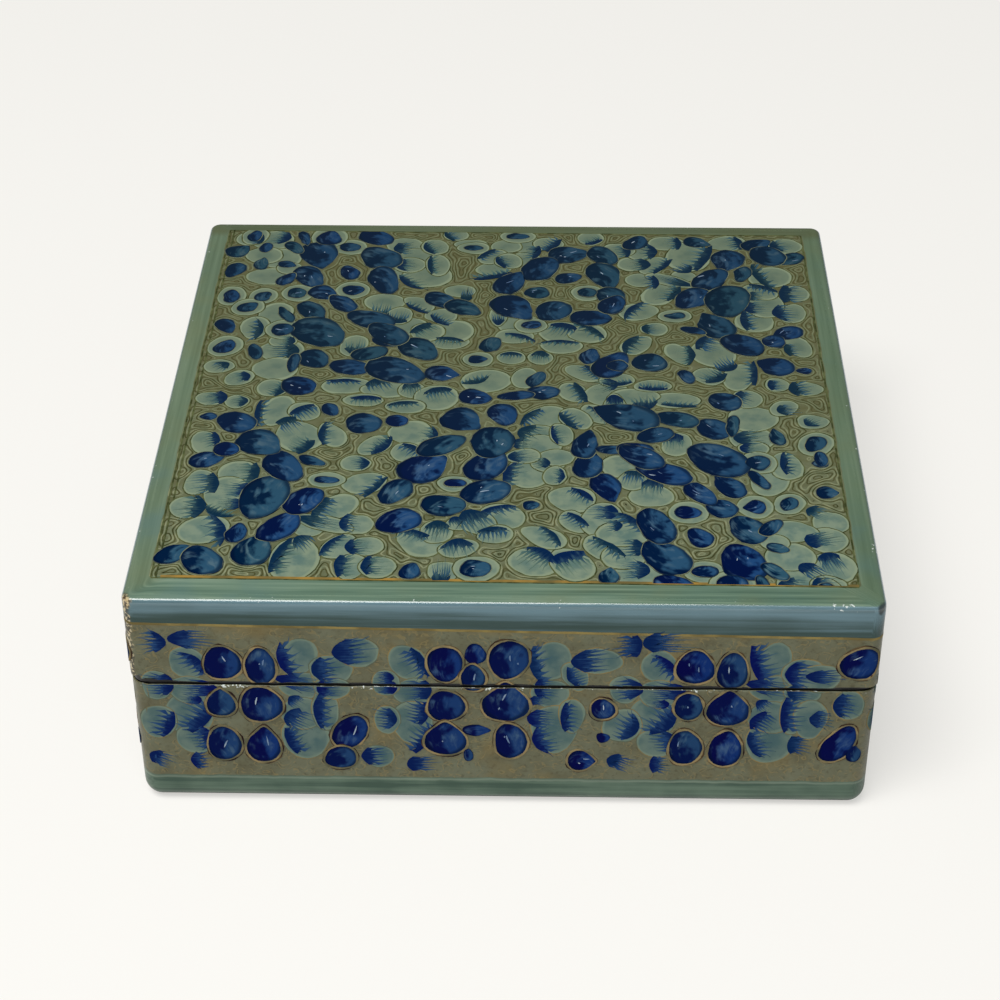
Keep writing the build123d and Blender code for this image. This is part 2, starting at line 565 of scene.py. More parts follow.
# %% All of it together
def painted_ground():
    ground = Finish("painted ground under varnish", **{"Coat Roughness": 0.1})
    where = ground.place()
    x, y, z = ground.split(where)
    shake = ground.noise(where, 0.35) * 0.5 - 0.25
    wavy_x, wavy_y, wavy_z = x + shake, y - x * FIELD_LEAN + shake, z + shake
    band_z = z - x * BAND_LEAN
    on_top = z.step(TOP_START, 0.1)
    in_field = wavy_x.step(FIELD_LEFT, 0.1) - wavy_x.step(FIELD_RIGHT, 0.1)
    in_field = in_field * (wavy_y.step(FIELD_FRONT, 0.1) - wavy_y.step(FIELD_BACK, 0.1))
    side_field = wavy_z.step(LOWER_BAND, 0.15) - (band_z + shake).step(UPPER_BAND, 0.15)

    brush, beside = brush_marks(ground, x, y, z)
    cloud = ground.noise(where, 0.09, detail=3.0)
    wash = ground.noise(where, 0.22, detail=5.0, roughness=0.6)
    band = band_colour(ground, z, band_z, wavy_z, brush, cloud)
    green = border_green(ground, x, y, brush, cloud, beside)
    green = ground.mix(z.rise(TOP_START + 0.02, TOP_START + 0.28), band, green)
    colour = ground.mix(side_field, green, side_brown(ground, where, wash, band_z))
    border = ground.mix(on_top, colour, green)
    colour = ground.mix(on_top * in_field, border, field_tan(ground, where, y, wash))

    edge = z.rise(TOP_START - 0.9, TOP_START - 0.3)
    edge = edge * (abs(x).most(abs(y))).rise(HALF - 1.3, HALF - 0.9)
    colour = knocked(ground, where, colour, edge)
    # painted shade: the knife-cut edges inside the seam are painted near black, as the gap there is
    # dark
    ground.colour(ground.mix(knife_cut(x, y, z), colour, paint(9, 9, 9)))
    ground.join(0.3 + cloud * 0.12, ground.shader.inputs["Roughness"])
    ground.join(0.25 + edge * 0.75, ground.shader.inputs["Coat Weight"])
    ground.bump(cloud * 1.5 + brush * 0.1, 0.5 * MM, strength=0.35)
    return ground.material


ground_finish = painted_ground()
for skin, body in ((lid_skin, "lid"), (base_skin, "base")):
    skin.data.materials.append(ground_finish)
    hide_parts(f"{body}_gesso_skin")
    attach(skin, body)
print("ground painted on", lid_skin.name, "and", base_skin.name)


# %% [markdown]
# ## The sheet of strokes
# The painter works stroke by stroke: leaf, petal, feathering. Here every stroke is one row of
# numbers on a flat sheet, the lid's top in the middle and the four sides below it, as if the
# box had been unwrapped. The strokes are stamped on the sheet first, and the sheet is then
# cut at the seam and folded round the box. Lengths are millimetres and headings are degrees,
# turned from the box's right.

# %% The sheet
SHEET_STEP = 100.0 * MM  # from one side's place on the sheet to the next
SHEET_START = 200.0 * MM
SIDES_START = -100.0 * MM  # the sheet's sides lie beyond this, and the lid's top before it
PETAL, HAIR, FEATHER, LEAF = range(4)  # hairs are the pale fine lines ahead of a feather
BUD = 4  # a leaf-coloured stroke on a small petal of its own


def sheet_origin(side):
    """Where the foot of a side lies on the sheet."""
    return -(SHEET_START + SHEET_STEP * side)


# %% [markdown]
# ### The lid's flowers
# Each flower is a fan of pale petals with a blue feathered stroke in each, and a cluster of
# blue leaves at its back. Buds and single leaves fill the gaps.

# %% Leaves on the lid: x, y, length, width, heading
TOP_LEAVES = [
    (-50.0, -43.9, 5.6, 3.6, 40), (-45.6, -45.4, 7.2, 5.2, -55), (-41.1, -38.5, 4.8, 2.9, 80),
    (-38.2, -43.0, 7.0, 5.3, 75), (-34.7, -36.8, 8.0, 4.8, 55), (-31.6, -30.0, 7.2, 4.9, 55),
    (-37.9, -29.2, 10.6, 6.8, 75), (-35.5, -20.8, 8.4, 5.2, -60), (-48.0, -18.9, 5.2, 3.8, 25),
    (-31.1, -19.2, 4.5, 2.0, -30), (-13.2, -20.6, 8.6, 6.4, 45), (-17.5, -27.3, 6.4, 4.4, 60),
    (-3.4, -19.8, 8.4, 5.6, 60), (-3.2, -27.0, 7.6, 5.6, 25), (-9.7, -30.6, 6.6, 4.8, -5),
    (-16.6, -35.0, 6.8, 5.2, 30), (15.6, -25.6, 7.2, 4.2, -75), (12.8, -19.3, 7.0, 4.2, 80),
    (3.8, -30.4, 2.4, 2.2, 0), (-14.2, -47.5, 3.8, 2.8, 75), (15.7, -48.1, 3.6, 2.8, 85),
    (-44.5, -8.2, 6.4, 5.2, -30), (-39.9, -14.4, 7.4, 6.0, -40), (-45.1, -16.1, 3.8, 3.4, 0),
    (-35.2, 2.8, 5.6, 5.0, -30), (-29.4, -4.4, 3.6, 2.4, -70), (-23.6, -8.2, 5.4, 5.2, 0),
    (-18.2, -7.4, 3.6, 3.2, 0), (-33.4, 11.2, 5.6, 4.6, -60), (-27.1, 8.6, 6.6, 4.2, -15),
    (-19.3, 7.6, 10.2, 6.4, -30), (-24.2, 13.0, 6.0, 3.6, 25), (-20.6, 17.4, 6.0, 4.0, -15),
    (-43.7, 13.2, 4.8, 2.2, -75), (-36.8, 9.8, 5.6, 1.9, 85), (-49.2, -6.7, 2.6, 1.8, 0),
    (-15.7, 14.4, 7.6, 5.2, -50), (-11.4, 6.8, 5.4, 4.2, -10), (-5.7, -0.2, 5.2, 4.0, -15),
    (-7.6, -7.1, 6.6, 6.0, -40), (-10.7, -14.3, 8.0, 4.6, 30), (-1.0, -5.4, 5.8, 4.4, -70),
    (-2.6, -13.4, 8.0, 6.4, 80), (4.4, 5.6, 4.6, 2.4, 60), (5.6, 1.6, 5.0, 3.4, 5),
    (1.0, 0.4, 5.6, 2.4, 10), (12.4, -13.6, 7.4, 3.8, 80), (16.4, -15.1, 4.2, 2.2, 0),
    (13.3, 12.8, 4.4, 3.0, 80), (17.0, 10.0, 8.0, 5.0, 60), (-3.5, 16.3, 4.6, 3.2, 70),
    (-35.4, 46.2, 9.0, 6.2, -80), (-36.6, 38.6, 7.4, 4.6, -65), (-33.6, 32.9, 5.2, 4.2, -45),
    (-30.0, 29.4, 6.4, 3.4, -50), (-35.1, 26.8, 6.6, 4.0, -60), (-33.3, 19.6, 10.0, 7.4, -45),
    (-25.4, 53.0, 6.4, 4.8, -40), (-24.2, 45.4, 8.0, 6.2, -50), (-23.0, 37.4, 9.0, 4.8, -75),
    (-24.6, 24.0, 8.4, 5.0, -25), (-21.4, 19.4, 8.0, 5.0, -45), (-50.3, 47.5, 4.4, 3.8, 45),
    (-50.2, 40.6, 5.0, 3.2, 65), (-45.4, 48.8, 3.4, 2.2, 80), (-45.6, 43.0, 4.0, 2.4, 80),
    (-49.6, 21.5, 4.6, 3.2, -60), (-39.5, 25.4, 5.2, 1.9, -60), (-29.5, 40.2, 4.6, 3.2, -70),
    (-40.2, 48.9, 4.6, 2.6, -55), (-38.6, 52.2, 5.0, 1.8, -75), (-41.0, 42.8, 3.2, 2.0, -20),
    (-40.6, 37.6, 4.6, 2.4, 55), (9.8, 47.1, 6.8, 5.2, 10), (4.7, 42.0, 8.2, 5.8, 60),
    (-0.6, 37.0, 7.8, 4.6, 65), (0.2, 28.2, 8.6, 6.0, -50), (7.1, 27.4, 6.4, 5.6, 60),
    (13.6, 25.2, 6.6, 4.6, -5), (16.0, 46.8, 6.4, 4.6, -60), (16.2, 39.4, 8.6, 5.4, -75),
    (17.4, 32.0, 7.0, 4.4, -75), (-12.6, 30.8, 6.5, 4.0, -45), (-8.6, 28.2, 6.5, 4.0, -35),
    (9.9, 38.9, 4.4, 3.2, 20), (4.2, 33.8, 4.0, 3.6, 0), (49.6, -18.3, 2.4, 2.0, 0),
    (49.8, -17.1, 3.8, 2.0, 90), (50.1, -26.2, 3.4, 3.0, 0), (22.0, 51.6, 5.2, 3.6, 60),
    (33.4, 52.0, 4.6, 3.2, -20), (44.2, 51.4, 5.4, 3.8, 30),
]

# %% Petals on the lid: x, y, length, width, heading
TOP_PETALS = [
    (-42.6, -23.0, 6.5, 5.5, 80), (-48.5, -25.2, 6.0, 4.0, 80), (-49.7, -32.0, 5.0, 4.4, 90),
    (-44.1, -28.2, 8.0, 5.5, 80), (-46.2, -37.7, 7.2, 6.0, 30), (-31.8, -44.9, 9.5, 6.6, 85),
    (-26.5, -31.8, 7.5, 4.6, 50), (-22.8, -35.9, 4.6, 4.2, 0), (-25.2, -41.6, 6.0, 4.2, 55),
    (-30.1, -37.3, 4.0, 3.4, 0), (-21.2, -41.5, 5.0, 4.0, 10), (-23.0, -46.7, 5.6, 4.0, 80),
    (-19.0, -46.6, 5.0, 4.6, 0), (-22.4, -25.0, 6.4, 4.8, 20), (3.0, -22.0, 7.0, 5.4, -65),
    (6.5, -19.0, 5.0, 4.0, 0), (-0.6, -33.5, 6.6, 5.6, -20), (10.1, -28.6, 6.6, 5.8, -20),
    (10.6, -34.6, 5.4, 3.6, -60), (14.8, -34.0, 8.0, 5.6, 80), (15.0, -41.2, 6.6, 4.6, -50),
    (-13.0, -40.0, 7.4, 5.6, -45), (-10.6, -37.6, 5.0, 4.4, 90), (-7.4, -35.5, 3.2, 2.8, 0),
    (-4.2, -35.2, 6.0, 4.6, -50), (-1.6, -38.2, 5.0, 3.8, 20), (-7.0, -41.7, 5.6, 3.8, 20),
    (-9.1, -47.7, 4.6, 4.2, 90), (4.5, -44.7, 7.0, 6.4, 0), (10.1, -45.4, 7.6, 5.4, -60),
    (5.8, -38.6, 7.0, 4.0, -35), (-39.2, 13.6, 7.0, 6.0, 0), (-39.8, 8.0, 7.0, 6.0, 0),
    (-49.3, 8.6, 4.6, 3.6, 0), (-45.5, 5.0, 4.8, 3.8, 40), (-49.4, -1.2, 4.6, 3.4, 0),
    (-45.0, -2.2, 3.6, 3.4, 0), (-38.0, -4.8, 8.0, 4.4, 80), (-33.6, -4.9, 5.0, 4.4, -40),
    (-34.0, -12.0, 8.0, 6.5, -60), (-28.6, -11.6, 6.4, 3.6, -65), (-48.8, -14.2, 6.0, 4.0, -70),
    (-21.5, -14.6, 5.8, 3.8, 45), (-27.2, 3.0, 7.6, 4.2, 5), (-20.8, 1.9, 7.4, 4.2, 0),
    (-24.2, -1.4, 6.0, 3.2, 0), (-27.0, 15.5, 6.0, 4.0, 75), (-16.3, 1.8, 4.0, 4.0, 0),
    (-12.2, -0.4, 6.6, 6.4, 0), (-17.2, -3.2, 6.0, 3.4, 0), (-4.0, 4.8, 7.6, 6.0, 10),
    (0.0, 12.2, 4.4, 3.6, 0), (5.0, 12.2, 3.8, 3.6, 0), (8.6, 16.0, 6.4, 4.0, 0),
    (2.5, 5.8, 5.6, 4.0, 80), (-10.6, 17.0, 6.0, 4.0, 0), (12.4, 7.6, 6.4, 3.8, -30),
    (10.6, 1.6, 5.5, 4.0, -60), (16.2, 1.0, 7.0, 6.0, 0), (14.3, -4.8, 5.6, 3.6, -55),
    (6.0, -5.6, 6.4, 5.0, 30), (5.0, -10.5, 5.0, 4.0, -30), (5.2, -14.4, 6.0, 6.0, 0),
    (-16.0, -10.8, 6.4, 6.0, 0), (7.8, -17.4, 5.0, 4.0, 0), (-44.5, 51.5, 7.0, 6.0, 0),
    (-42.5, 45.0, 7.0, 6.0, 0), (-45.5, 46.0, 6.0, 5.0, 0), (-44.0, 38.5, 7.0, 5.0, 0),
    (-40.5, 41.5, 4.0, 3.5, 0), (-41.5, 25.5, 7.0, 5.0, 70), (-44.5, 21.0, 6.5, 4.4, 90),
    (-39.5, 20.0, 5.0, 5.0, 0), (-22.5, 30.0, 6.5, 5.0, 0), (-20.0, 50.0, 6.0, 5.0, 0),
    (-18.0, 46.0, 6.0, 5.0, 0), (-18.0, 40.0, 7.0, 5.0, 0), (2.5, 50.5, 6.5, 5.0, 0),
    (-1.5, 50.0, 5.0, 4.0, 0), (6.2, 51.0, 5.0, 4.0, 0), (2.0, 45.5, 5.0, 4.0, 0),
    (-3.5, 42.0, 6.0, 4.0, 20), (-8.0, 50.6, 5.5, 3.0, 0), (-9.5, 34.0, 5.0, 3.6, 0),
    (-15.5, 39.0, 8.0, 6.5, 0), (-16.5, 29.5, 5.6, 3.4, -40), (-12.5, 25.5, 5.0, 4.0, 0),
    (-10.5, 20.5, 7.0, 6.0, 0), (-18.0, 22.0, 6.0, 5.0, 0), (1.5, 22.5, 7.0, 6.0, 0),
    (0.5, 19.0, 6.0, 4.0, 0), (8.5, 20.5, 7.0, 6.0, 0), (13.0, 20.0, 6.0, 5.0, 0),
    (49.8, -34.2, 5.0, 5.0, 0), (49.0, -38.6, 5.4, 5.4, 0), (48.8, -45.5, 7.0, 6.5, 0),
    (27.8, 51.6, 6.0, 4.4, 0), (38.8, 51.8, 6.4, 4.6, 10), (49.4, 51.0, 5.4, 4.6, 0),
]

# %% Feathering on the lid: x, y, width, depth, heading of its teeth
TOP_FEATHERS = [
    (-41.0, -22.9, 5.3, 2.4, 180), (-47.4, -25.5, 4.6, 2.8, 190), (-48.9, -31.8, 5.0, 3.0, 180),
    (-42.3, -27.2, 3.0, 3.2, 180), (-44.3, -32.8, 4.5, 2.0, 60), (-42.8, -31.0, 2.5, 2.5, 180),
    (-44.6, -38.0, 7.0, 2.4, 195), (-33.0, -44.3, 7.6, 2.6, -15), (-28.0, -32.0, 4.8, 2.4, -20),
    (-24.0, -35.6, 3.8, 2.0, 0), (-26.0, -41.5, 5.2, 1.8, -30), (-30.6, -40.6, 3.0, 2.4, -45),
    (-28.6, -35.5, 2.2, 5.0, -20), (-22.2, -41.6, 3.2, 2.6, 10), (-23.7, -46.5, 4.6, 2.4, 0),
    (-19.6, -46.3, 3.8, 2.4, 0), (-21.2, -25.6, 5.4, 1.8, 150), (-23.5, -19.6, 2.8, 2.0, 180),
    (1.0, -22.2, 5.4, 2.2, -10), (5.3, -19.0, 2.4, 2.0, 180), (-1.3, -32.2, 5.0, 2.0, -70),
    (11.3, -27.8, 4.0, 2.0, 225), (10.6, -34.4, 4.0, 1.8, 225), (14.9, -32.0, 3.0, 3.0, 180),
    (16.3, -35.5, 2.4, 2.0, 180), (15.2, -41.3, 5.8, 2.0, 225), (-14.4, -38.6, 4.6, 2.0, 250),
    (-10.4, -37.2, 3.2, 3.2, -90), (-7.6, -35.2, 2.0, 2.0, -80), (-4.8, -34.8, 4.4, 4.0, -65),
    (-1.9, -38.0, 3.8, 2.4, -80), (-7.1, -41.5, 4.2, 2.8, -80), (-9.4, -48.1, 2.3, 3.4, 90),
    (4.9, -43.6, 4.4, 3.0, -130), (9.9, -44.8, 4.8, 3.4, -65), (6.7, -38.6, 5.0, 1.6, 210),
    (-38.9, 13.6, 3.6, 3.6, 180), (-38.6, 16.8, 2.4, 2.0, 180), (-49.0, 8.6, 2.4, 2.0, 225),
    (-45.3, 5.3, 2.6, 2.2, 200), (-48.9, -1.2, 3.2, 2.8, 190), (-44.6, -2.2, 2.6, 1.8, 180),
    (-40.4, -5.6, 6.6, 1.8, 0), (-33.5, -5.2, 4.0, 2.6, -50), (-35.8, -8.8, 3.0, 3.0, -60),
    (-33.4, -14.6, 3.8, 2.6, 150), (-29.4, -11.3, 5.4, 1.8, 0), (-48.1, -13.3, 3.4, 2.0, 190),
    (-20.9, -14.2, 5.0, 2.4, 150), (-27.9, 3.9, 5.0, 1.4, -90), (-22.0, 3.0, 3.4, 3.0, -75),
    (-23.8, -1.5, 4.4, 1.8, -90), (-26.7, 15.0, 3.0, 3.2, 90), (-16.3, 2.3, 2.6, 3.0, -75),
    (-11.7, 0.8, 4.0, 2.6, -75), (-17.5, -2.9, 4.4, 1.6, -80), (-6.0, 5.2, 4.2, 1.8, 115),
    (0.0, 12.8, 3.2, 1.6, -90), (5.0, 12.4, 2.6, 2.6, -90), (8.5, 16.9, 5.4, 1.4, -90),
    (-10.8, 17.2, 4.0, 1.8, -100), (13.4, 7.6, 4.0, 1.6, 215), (11.0, 1.4, 5.2, 2.0, 200),
    (16.2, 4.0, 3.0, 2.4, 200), (14.4, -4.9, 4.8, 1.4, 215), (3.6, -10.6, 4.0, 2.8, -30),
    (2.2, -13.6, 2.4, 2.4, -10), (1.8, -17.2, 2.6, 2.4, 10), (-15.8, -16.0, 3.6, 2.2, -130),
    (-23.0, 27.3, 3.0, 3.8, 80), (-19.8, 24.8, 3.0, 2.6, 80), (-20.0, 48.8, 3.4, 2.6, 0),
    (-19.4, 43.0, 3.6, 2.6, 0), (-15.1, 20.6, 4.0, 2.6, -45), (1.3, 18.4, 4.8, 1.8, -115),
    (8.6, 21.2, 4.0, 3.0, -110), (13.2, 20.8, 6.0, 2.0, 225), (48.1, -31.5, 2.6, 2.4, -30),
    (48.0, -38.4, 3.0, 3.4, 20), (49.0, -44.3, 3.0, 3.4, -75), (46.1, -46.6, 2.6, 3.4, -50),
    (8.1, -22.6, 3.4, 1.3, 175), (-39.0, 1.8, 3.4, 2.2, 160), (-12.9, -12.2, 5.2, 1.9, 170),
    (10.3, -6.6, 4.6, 2.0, 30), (8.0, -11.0, 4.4, 1.4, 10), (3.9, -6.0, 4.8, 1.8, -35),
    (17.3, -2.2, 2.4, 4.0, -90), (-44.4, 20.3, 5.4, 1.9, 180), (-14.3, 43.0, 5.4, 1.7, 5),
    (-15.0, 49.2, 3.8, 2.0, 25), (-11.4, 53.8, 3.0, 1.8, 30), (-4.5, 46.7, 4.0, 1.8, -40),
    (-1.6, 44.4, 3.6, 2.0, 20), (-3.9, 39.9, 6.0, 2.0, 110), (3.2, 48.0, 4.0, 2.2, 170),
    (6.5, 50.9, 4.4, 2.0, 150), (14.2, 52.6, 3.2, 2.0, 120), (-18.2, 37.2, 5.4, 2.0, 40),
    (-16.4, 28.3, 4.4, 1.6, 50), (-12.3, 24.3, 4.0, 1.8, 45), (-8.1, 33.0, 1.8, 3.0, 90),
    (29.0, 51.6, 3.8, 2.0, 180), (40.0, 51.9, 4.0, 2.2, 190), (48.4, 51.2, 3.4, 2.4, 20),
    (-2.4, 24.8, 1.8, 3.0, 90), (-47.8, 52.0, 3.0, 2.4, 180), (-43.0, 52.6, 3.6, 2.4, 160),
]

# %% Buds on the lid, each on a petal of its own: x, y, length, width, heading
TOP_BUDS = [
    (-28.4, -24.2, 3.4, 1.7, 0), (-8.2, -24.8, 3.2, 1.8, 0), (-4.2, -46.7, 4.4, 3.7, 0),
    (-49.0, 14.9, 4.2, 3.2, 60), (-5.6, 11.5, 2.8, 2.2, 0), (-49.8, 31.6, 4.0, 2.6, 85),
    (-44.2, 31.6, 3.2, 2.4, 60), (-46.5, 27.8, 3.6, 2.8, 35), (-39.6, 20.5, 3.6, 3.6, 0),
    (-38.2, 32.8, 3.2, 3.2, 0), (-28.4, 34.0, 3.6, 3.2, 0), (-30.0, 49.2, 3.6, 2.8, 0),
    (-47.8, 53.0, 3.6, 2.4, 80), (-34.1, 52.6, 4.6, 4.0, 80), (0.6, 53.6, 4.0, 2.0, 0),
    (13.1, 33.8, 3.2, 2.8, 0), (3.3, 22.6, 3.2, 2.4, 0), (-7.5, 49.3, 3.4, 1.8, 0),
]

# %% [markdown]
# ### The right-hand third
# Most of the right-hand third has no rows of its own. It is the left-hand third turned half
# round, with every stroke shaken so that no two match. The dice are seeded, so the box comes
# out the same each time.

# %% Turn the left third round
dice = np.random.default_rng(11)
THIRD = 17.4  # how far from the middle the turned strokes begin
TURNED_SHIFT = 2.2
TURNED_SHAKE = 0.9


def shaken(row, amount):
    """A row with its place, size and heading changed a little."""
    x, y, length, width, heading = row
    shift_x, shift_y, stretch_l, stretch_w, turn = dice.uniform(-1, 1, 5) * amount
    return (
        x + 0.5 * shift_x, y + 0.4 * shift_y, length * (1 + 0.08 * stretch_l),
        width * (1 + 0.08 * stretch_w), heading + 7 * turn,
    )


def turned(rows):
    """The rows of the left third, half a turn round, leaving room for those already there."""
    copies = []
    for x, y, length, width, heading in rows:
        kept_clear = x < -45 and 15 < y < 50
        if x < -THIRD and not kept_clear:
            row = (-x, -y + TURNED_SHIFT, length, width, heading + 180)
            copies.append(shaken(row, TURNED_SHAKE))
    return copies


for rows in (TOP_LEAVES, TOP_PETALS, TOP_FEATHERS, TOP_BUDS):
    rows += turned(rows)
print(len(TOP_LEAVES), "leaves and", len(TOP_PETALS), "petals on the lid")

# %% [markdown]
# ### The sides
# Each side is three upright sprays: six round leaves in two columns, with petals and
# feathering to the left and right. Two sprays take turns round the box, and each copy is
# shaken a little, as repeated brushwork is.

# %% The two sprays: along the side from the spray's middle, height, length, width, heading
SPRAY_A = {
    LEAF: [
        (-2.3, 27.0, 6.0, 5.2, 90), (3.4, 26.4, 6.6, 4.2, 90), (-3.0, 19.3, 5.0, 4.0, 90),
        (3.0, 19.0, 6.4, 5.8, 90), (-3.2, 11.0, 6.2, 4.6, 90), (3.0, 10.8, 6.6, 4.6, 85),
    ],
    PETAL: [
        (-7.6, 27.0, 5.6, 4.8, 100), (-8.2, 16.8, 7.4, 6.4, 90), (-7.4, 21.6, 5.6, 4.6, 0),
        (-7.4, 11.8, 5.4, 5.0, 0), (9.2, 28.0, 7.0, 4.5, 70), (9.6, 22.8, 6.4, 4.4, 0),
        (9.6, 12.2, 7.6, 6.4, 90), (9.4, 17.2, 6.0, 5.4, 0), (13.2, 25.0, 5.6, 3.8, 90),
        (12.9, 18.0, 7.4, 3.6, 90), (-12.6, 22.4, 4.8, 4.0, 90),
    ],
    FEATHER: [
        (-12.4, 15.0, 4.6, 2.6, 160), (-6.9, 26.7, 4.6, 2.0, 218), (-6.5, 22.0, 2.6, 4.0, 180),
        (-7.5, 19.6, 1.4, 2.0, 180), (-7.2, 16.6, 5.6, 3.0, 145), (-6.5, 12.0, 3.8, 2.6, 190),
        (-12.5, 31.0, 3.4, 2.8, 180), (-6.8, 31.6, 3.0, 4.4, 0), (-12.3, 22.5, 3.2, 3.0, 180),
        (-13.0, 7.4, 2.5, 3.0, -30), (-7.0, 7.3, 2.8, 2.0, 0), (7.9, 27.7, 6.2, 2.4, 15),
        (9.0, 23.2, 2.2, 4.6, -15), (8.3, 19.6, 2.0, 1.6, -45), (8.5, 16.0, 3.4, 2.6, -30),
        (8.2, 11.8, 4.6, 2.2, 20), (13.5, 25.8, 4.0, 3.0, 0), (13.5, 22.2, 2.4, 2.4, 0),
        (12.7, 17.8, 6.0, 2.2, 0),
    ],
}
SPRAY_B = {
    LEAF: [
        (-4.8, 27.0, 6.3, 4.8, 90), (4.7, 28.0, 6.8, 5.4, 80), (-4.8, 19.0, 5.5, 5.3, 90),
        (4.3, 19.8, 6.8, 6.4, 90), (-4.9, 12.4, 6.0, 5.8, 90), (5.0, 12.0, 6.5, 4.5, 95),
        (-0.2, 29.2, 3.6, 3.0, 90), (-0.5, 24.6, 4.6, 3.4, 90), (0.0, 14.0, 4.0, 2.0, 0),
        (-1.5, 9.0, 2.4, 1.3, 90), (16.0, 8.0, 4.0, 3.6, 0), (19.0, 18.6, 3.7, 3.4, 90),
        (19.3, 12.8, 2.0, 1.8, 0),
    ],
    PETAL: [
        (-10.5, 27.5, 6.0, 4.8, 110), (-9.8, 21.4, 5.2, 4.6, 0), (-10.0, 15.4, 7.4, 5.4, 90),
        (-13.8, 23.4, 4.4, 3.6, 90), (-13.8, 16.0, 5.0, 3.4, 90), (11.3, 28.0, 6.6, 5.0, 80),
        (11.0, 21.6, 5.2, 4.6, 0), (11.8, 14.2, 8.6, 6.2, 90), (14.8, 25.0, 5.0, 3.4, 110),
        (14.4, 17.0, 6.0, 3.4, 90), (18.2, 28.0, 6.6, 4.2, 0),
    ],
    FEATHER: [
        (-9.2, 27.2, 5.2, 2.2, 205), (-9.0, 22.0, 3.0, 2.8, 180), (-9.2, 17.5, 3.8, 2.4, 170),
        (-8.9, 12.5, 5.4, 2.4, 150), (-14.0, 24.5, 1.8, 2.0, 180), (-14.0, 22.5, 2.0, 2.4, 180),
        (-14.0, 16.3, 3.5, 2.2, 180), (9.5, 27.3, 6.0, 2.2, 10), (15.0, 25.0, 3.6, 1.8, 20),
        (10.4, 22.5, 3.0, 2.2, 0), (9.3, 20.2, 1.6, 1.8, 0), (9.9, 16.5, 3.0, 3.0, 0),
        (10.2, 12.2, 4.8, 2.4, 15), (14.2, 16.8, 4.8, 2.0, 0), (-8.5, 7.0, 2.5, 3.4, 0),
        (17.4, 28.0, 3.6, 4.2, 0),
    ],
}
# what stands between the sprays and at the right-hand corner, along the side from its middle
BETWEEN = {
    LEAF: [
        (-23.5, 13.5, 6.6, 4.5, 60), (-25.3, 8.2, 4.6, 4.0, 20), (53.3, 28.0, 5.8, 5.0, 45),
        (51.2, 12.0, 7.4, 4.0, 60), (53.8, 10.0, 3.0, 2.2, 90),
    ],
    PETAL: [
        (-21.8, 29.3, 5.6, 4.8, 0), (-19.3, 8.6, 4.2, 3.8, 0), (46.6, 16.8, 6.8, 4.4, 90),
        (47.2, 25.0, 6.0, 4.4, 0), (52.2, 19.8, 5.2, 4.2, 90),
    ],
    FEATHER: [
        (-22.3, 29.4, 4.0, 4.2, 0), (-19.6, 8.5, 3.0, 3.0, 0), (48.3, 25.4, 2.2, 4.0, 0),
        (51.8, 19.8, 4.0, 2.6, 0), (48.2, 16.8, 2.8, 2.2, 0), (45.2, 11.6, 3.0, 2.2, 0),
    ],
}
SPRAY_PLACES = (-40.0, -4.0, 31.0)


# %% Put every stroke on the sheet
strokes = []  # kind, x, y, length, width, turn; metres and radians


def on_top(x, y):
    """The lid's tables were drawn on a slightly larger square, so they are drawn in to fit."""
    return 0.99 * x + 0.08, 0.987 * y - 1.6 - 0.0036 * x


def on_side(x, y):
    """The sides' tables count from the foot's rounding up."""
    return 0.988 * x + 0.08, 0.986 * y + 1.5 + 0.002 * x


def reach_of(stroke, xs, ys, swell=0.0):
    """Distance from points to a stroke's oval, negative inside it."""
    _, x, y, length, width, turn = stroke
    half_l, half_w = length / 2 + swell, width / 2 + swell
    along = (xs - x) * math.cos(turn) + (ys - y) * math.sin(turn)
    across = (ys - y) * math.cos(turn) - (xs - x) * math.sin(turn)
    near = np.hypot(along / half_l, across / half_w) + 1e-9
    slope = np.hypot(along / half_l**2, across / half_w**2) + 1e-9
    return near * (near - 1) / slope


def ahead_of(x, y, heading, distance):
    """The point that lies a distance ahead of another."""
    angle = math.radians(heading)
    return x + distance * math.cos(angle), y + distance * math.sin(angle)


def missing_petals(feathers, petals, low=-99.0, high=99.0):
    """A petal for each feathered stroke that lies on none yet, between two heights."""
    ovals = [(PETAL, *row[:4], math.radians(row[4])) for row in petals]
    added = []
    for x, y, width, depth, heading in feathers:
        tip = ahead_of(x, y, heading, 0.6 * depth)
        if low < y < high and all(reach_of(oval, *tip) > 0 for oval in ovals):
            place = ahead_of(x, y, heading, 0.6)
            added.append((*place, 1.5 * depth + 1.3, 1.1 * width + 0.7, heading))
    return added


# how much longer and wider a stroke is laid than its table says
FULLNESS = {PETAL: (1.12, 1.14), HAIR: (1.25, 0.95), FEATHER: (1.55, 1.2), LEAF: (1.08, 1.08)}
HAIR_REACH = 0.3  # how far ahead of its feather a hair stroke lies, as a share of its length
BUD_MARGIN = 1.8  # how much longer and wider a bud's petal is than the bud


def put(kind, rows, fitted, origin_x=0.0, origin_y=0.0, amount=0.0):
    """Add rows to the strokes, each feather after its hairs and each bud after its petal."""
    for row in rows:
        x, y, length, width, heading = shaken(row, amount) if amount else row
        if kind == BUD:
            put(PETAL, [(x, y, length + BUD_MARGIN, width + BUD_MARGIN, heading)], fitted)
            put(LEAF, [(x, y, length, width, heading)], fitted)
            continue
        if kind == FEATHER:
            length, width = width, length  # a feather's teeth point along its length
        fuller, wider = FULLNESS[kind]
        length, width = length * fuller, width * wider
        if kind == FEATHER:
            place = ahead_of(x, y, heading, HAIR_REACH * length)
            put(HAIR, [(*place, length, width, heading)], fitted, origin_x, origin_y)
        x, y = fitted(x + origin_x, y)
        turn = math.radians(heading)
        strokes.append((kind, x * MM, y * MM + origin_y, length * MM, width * MM, turn))


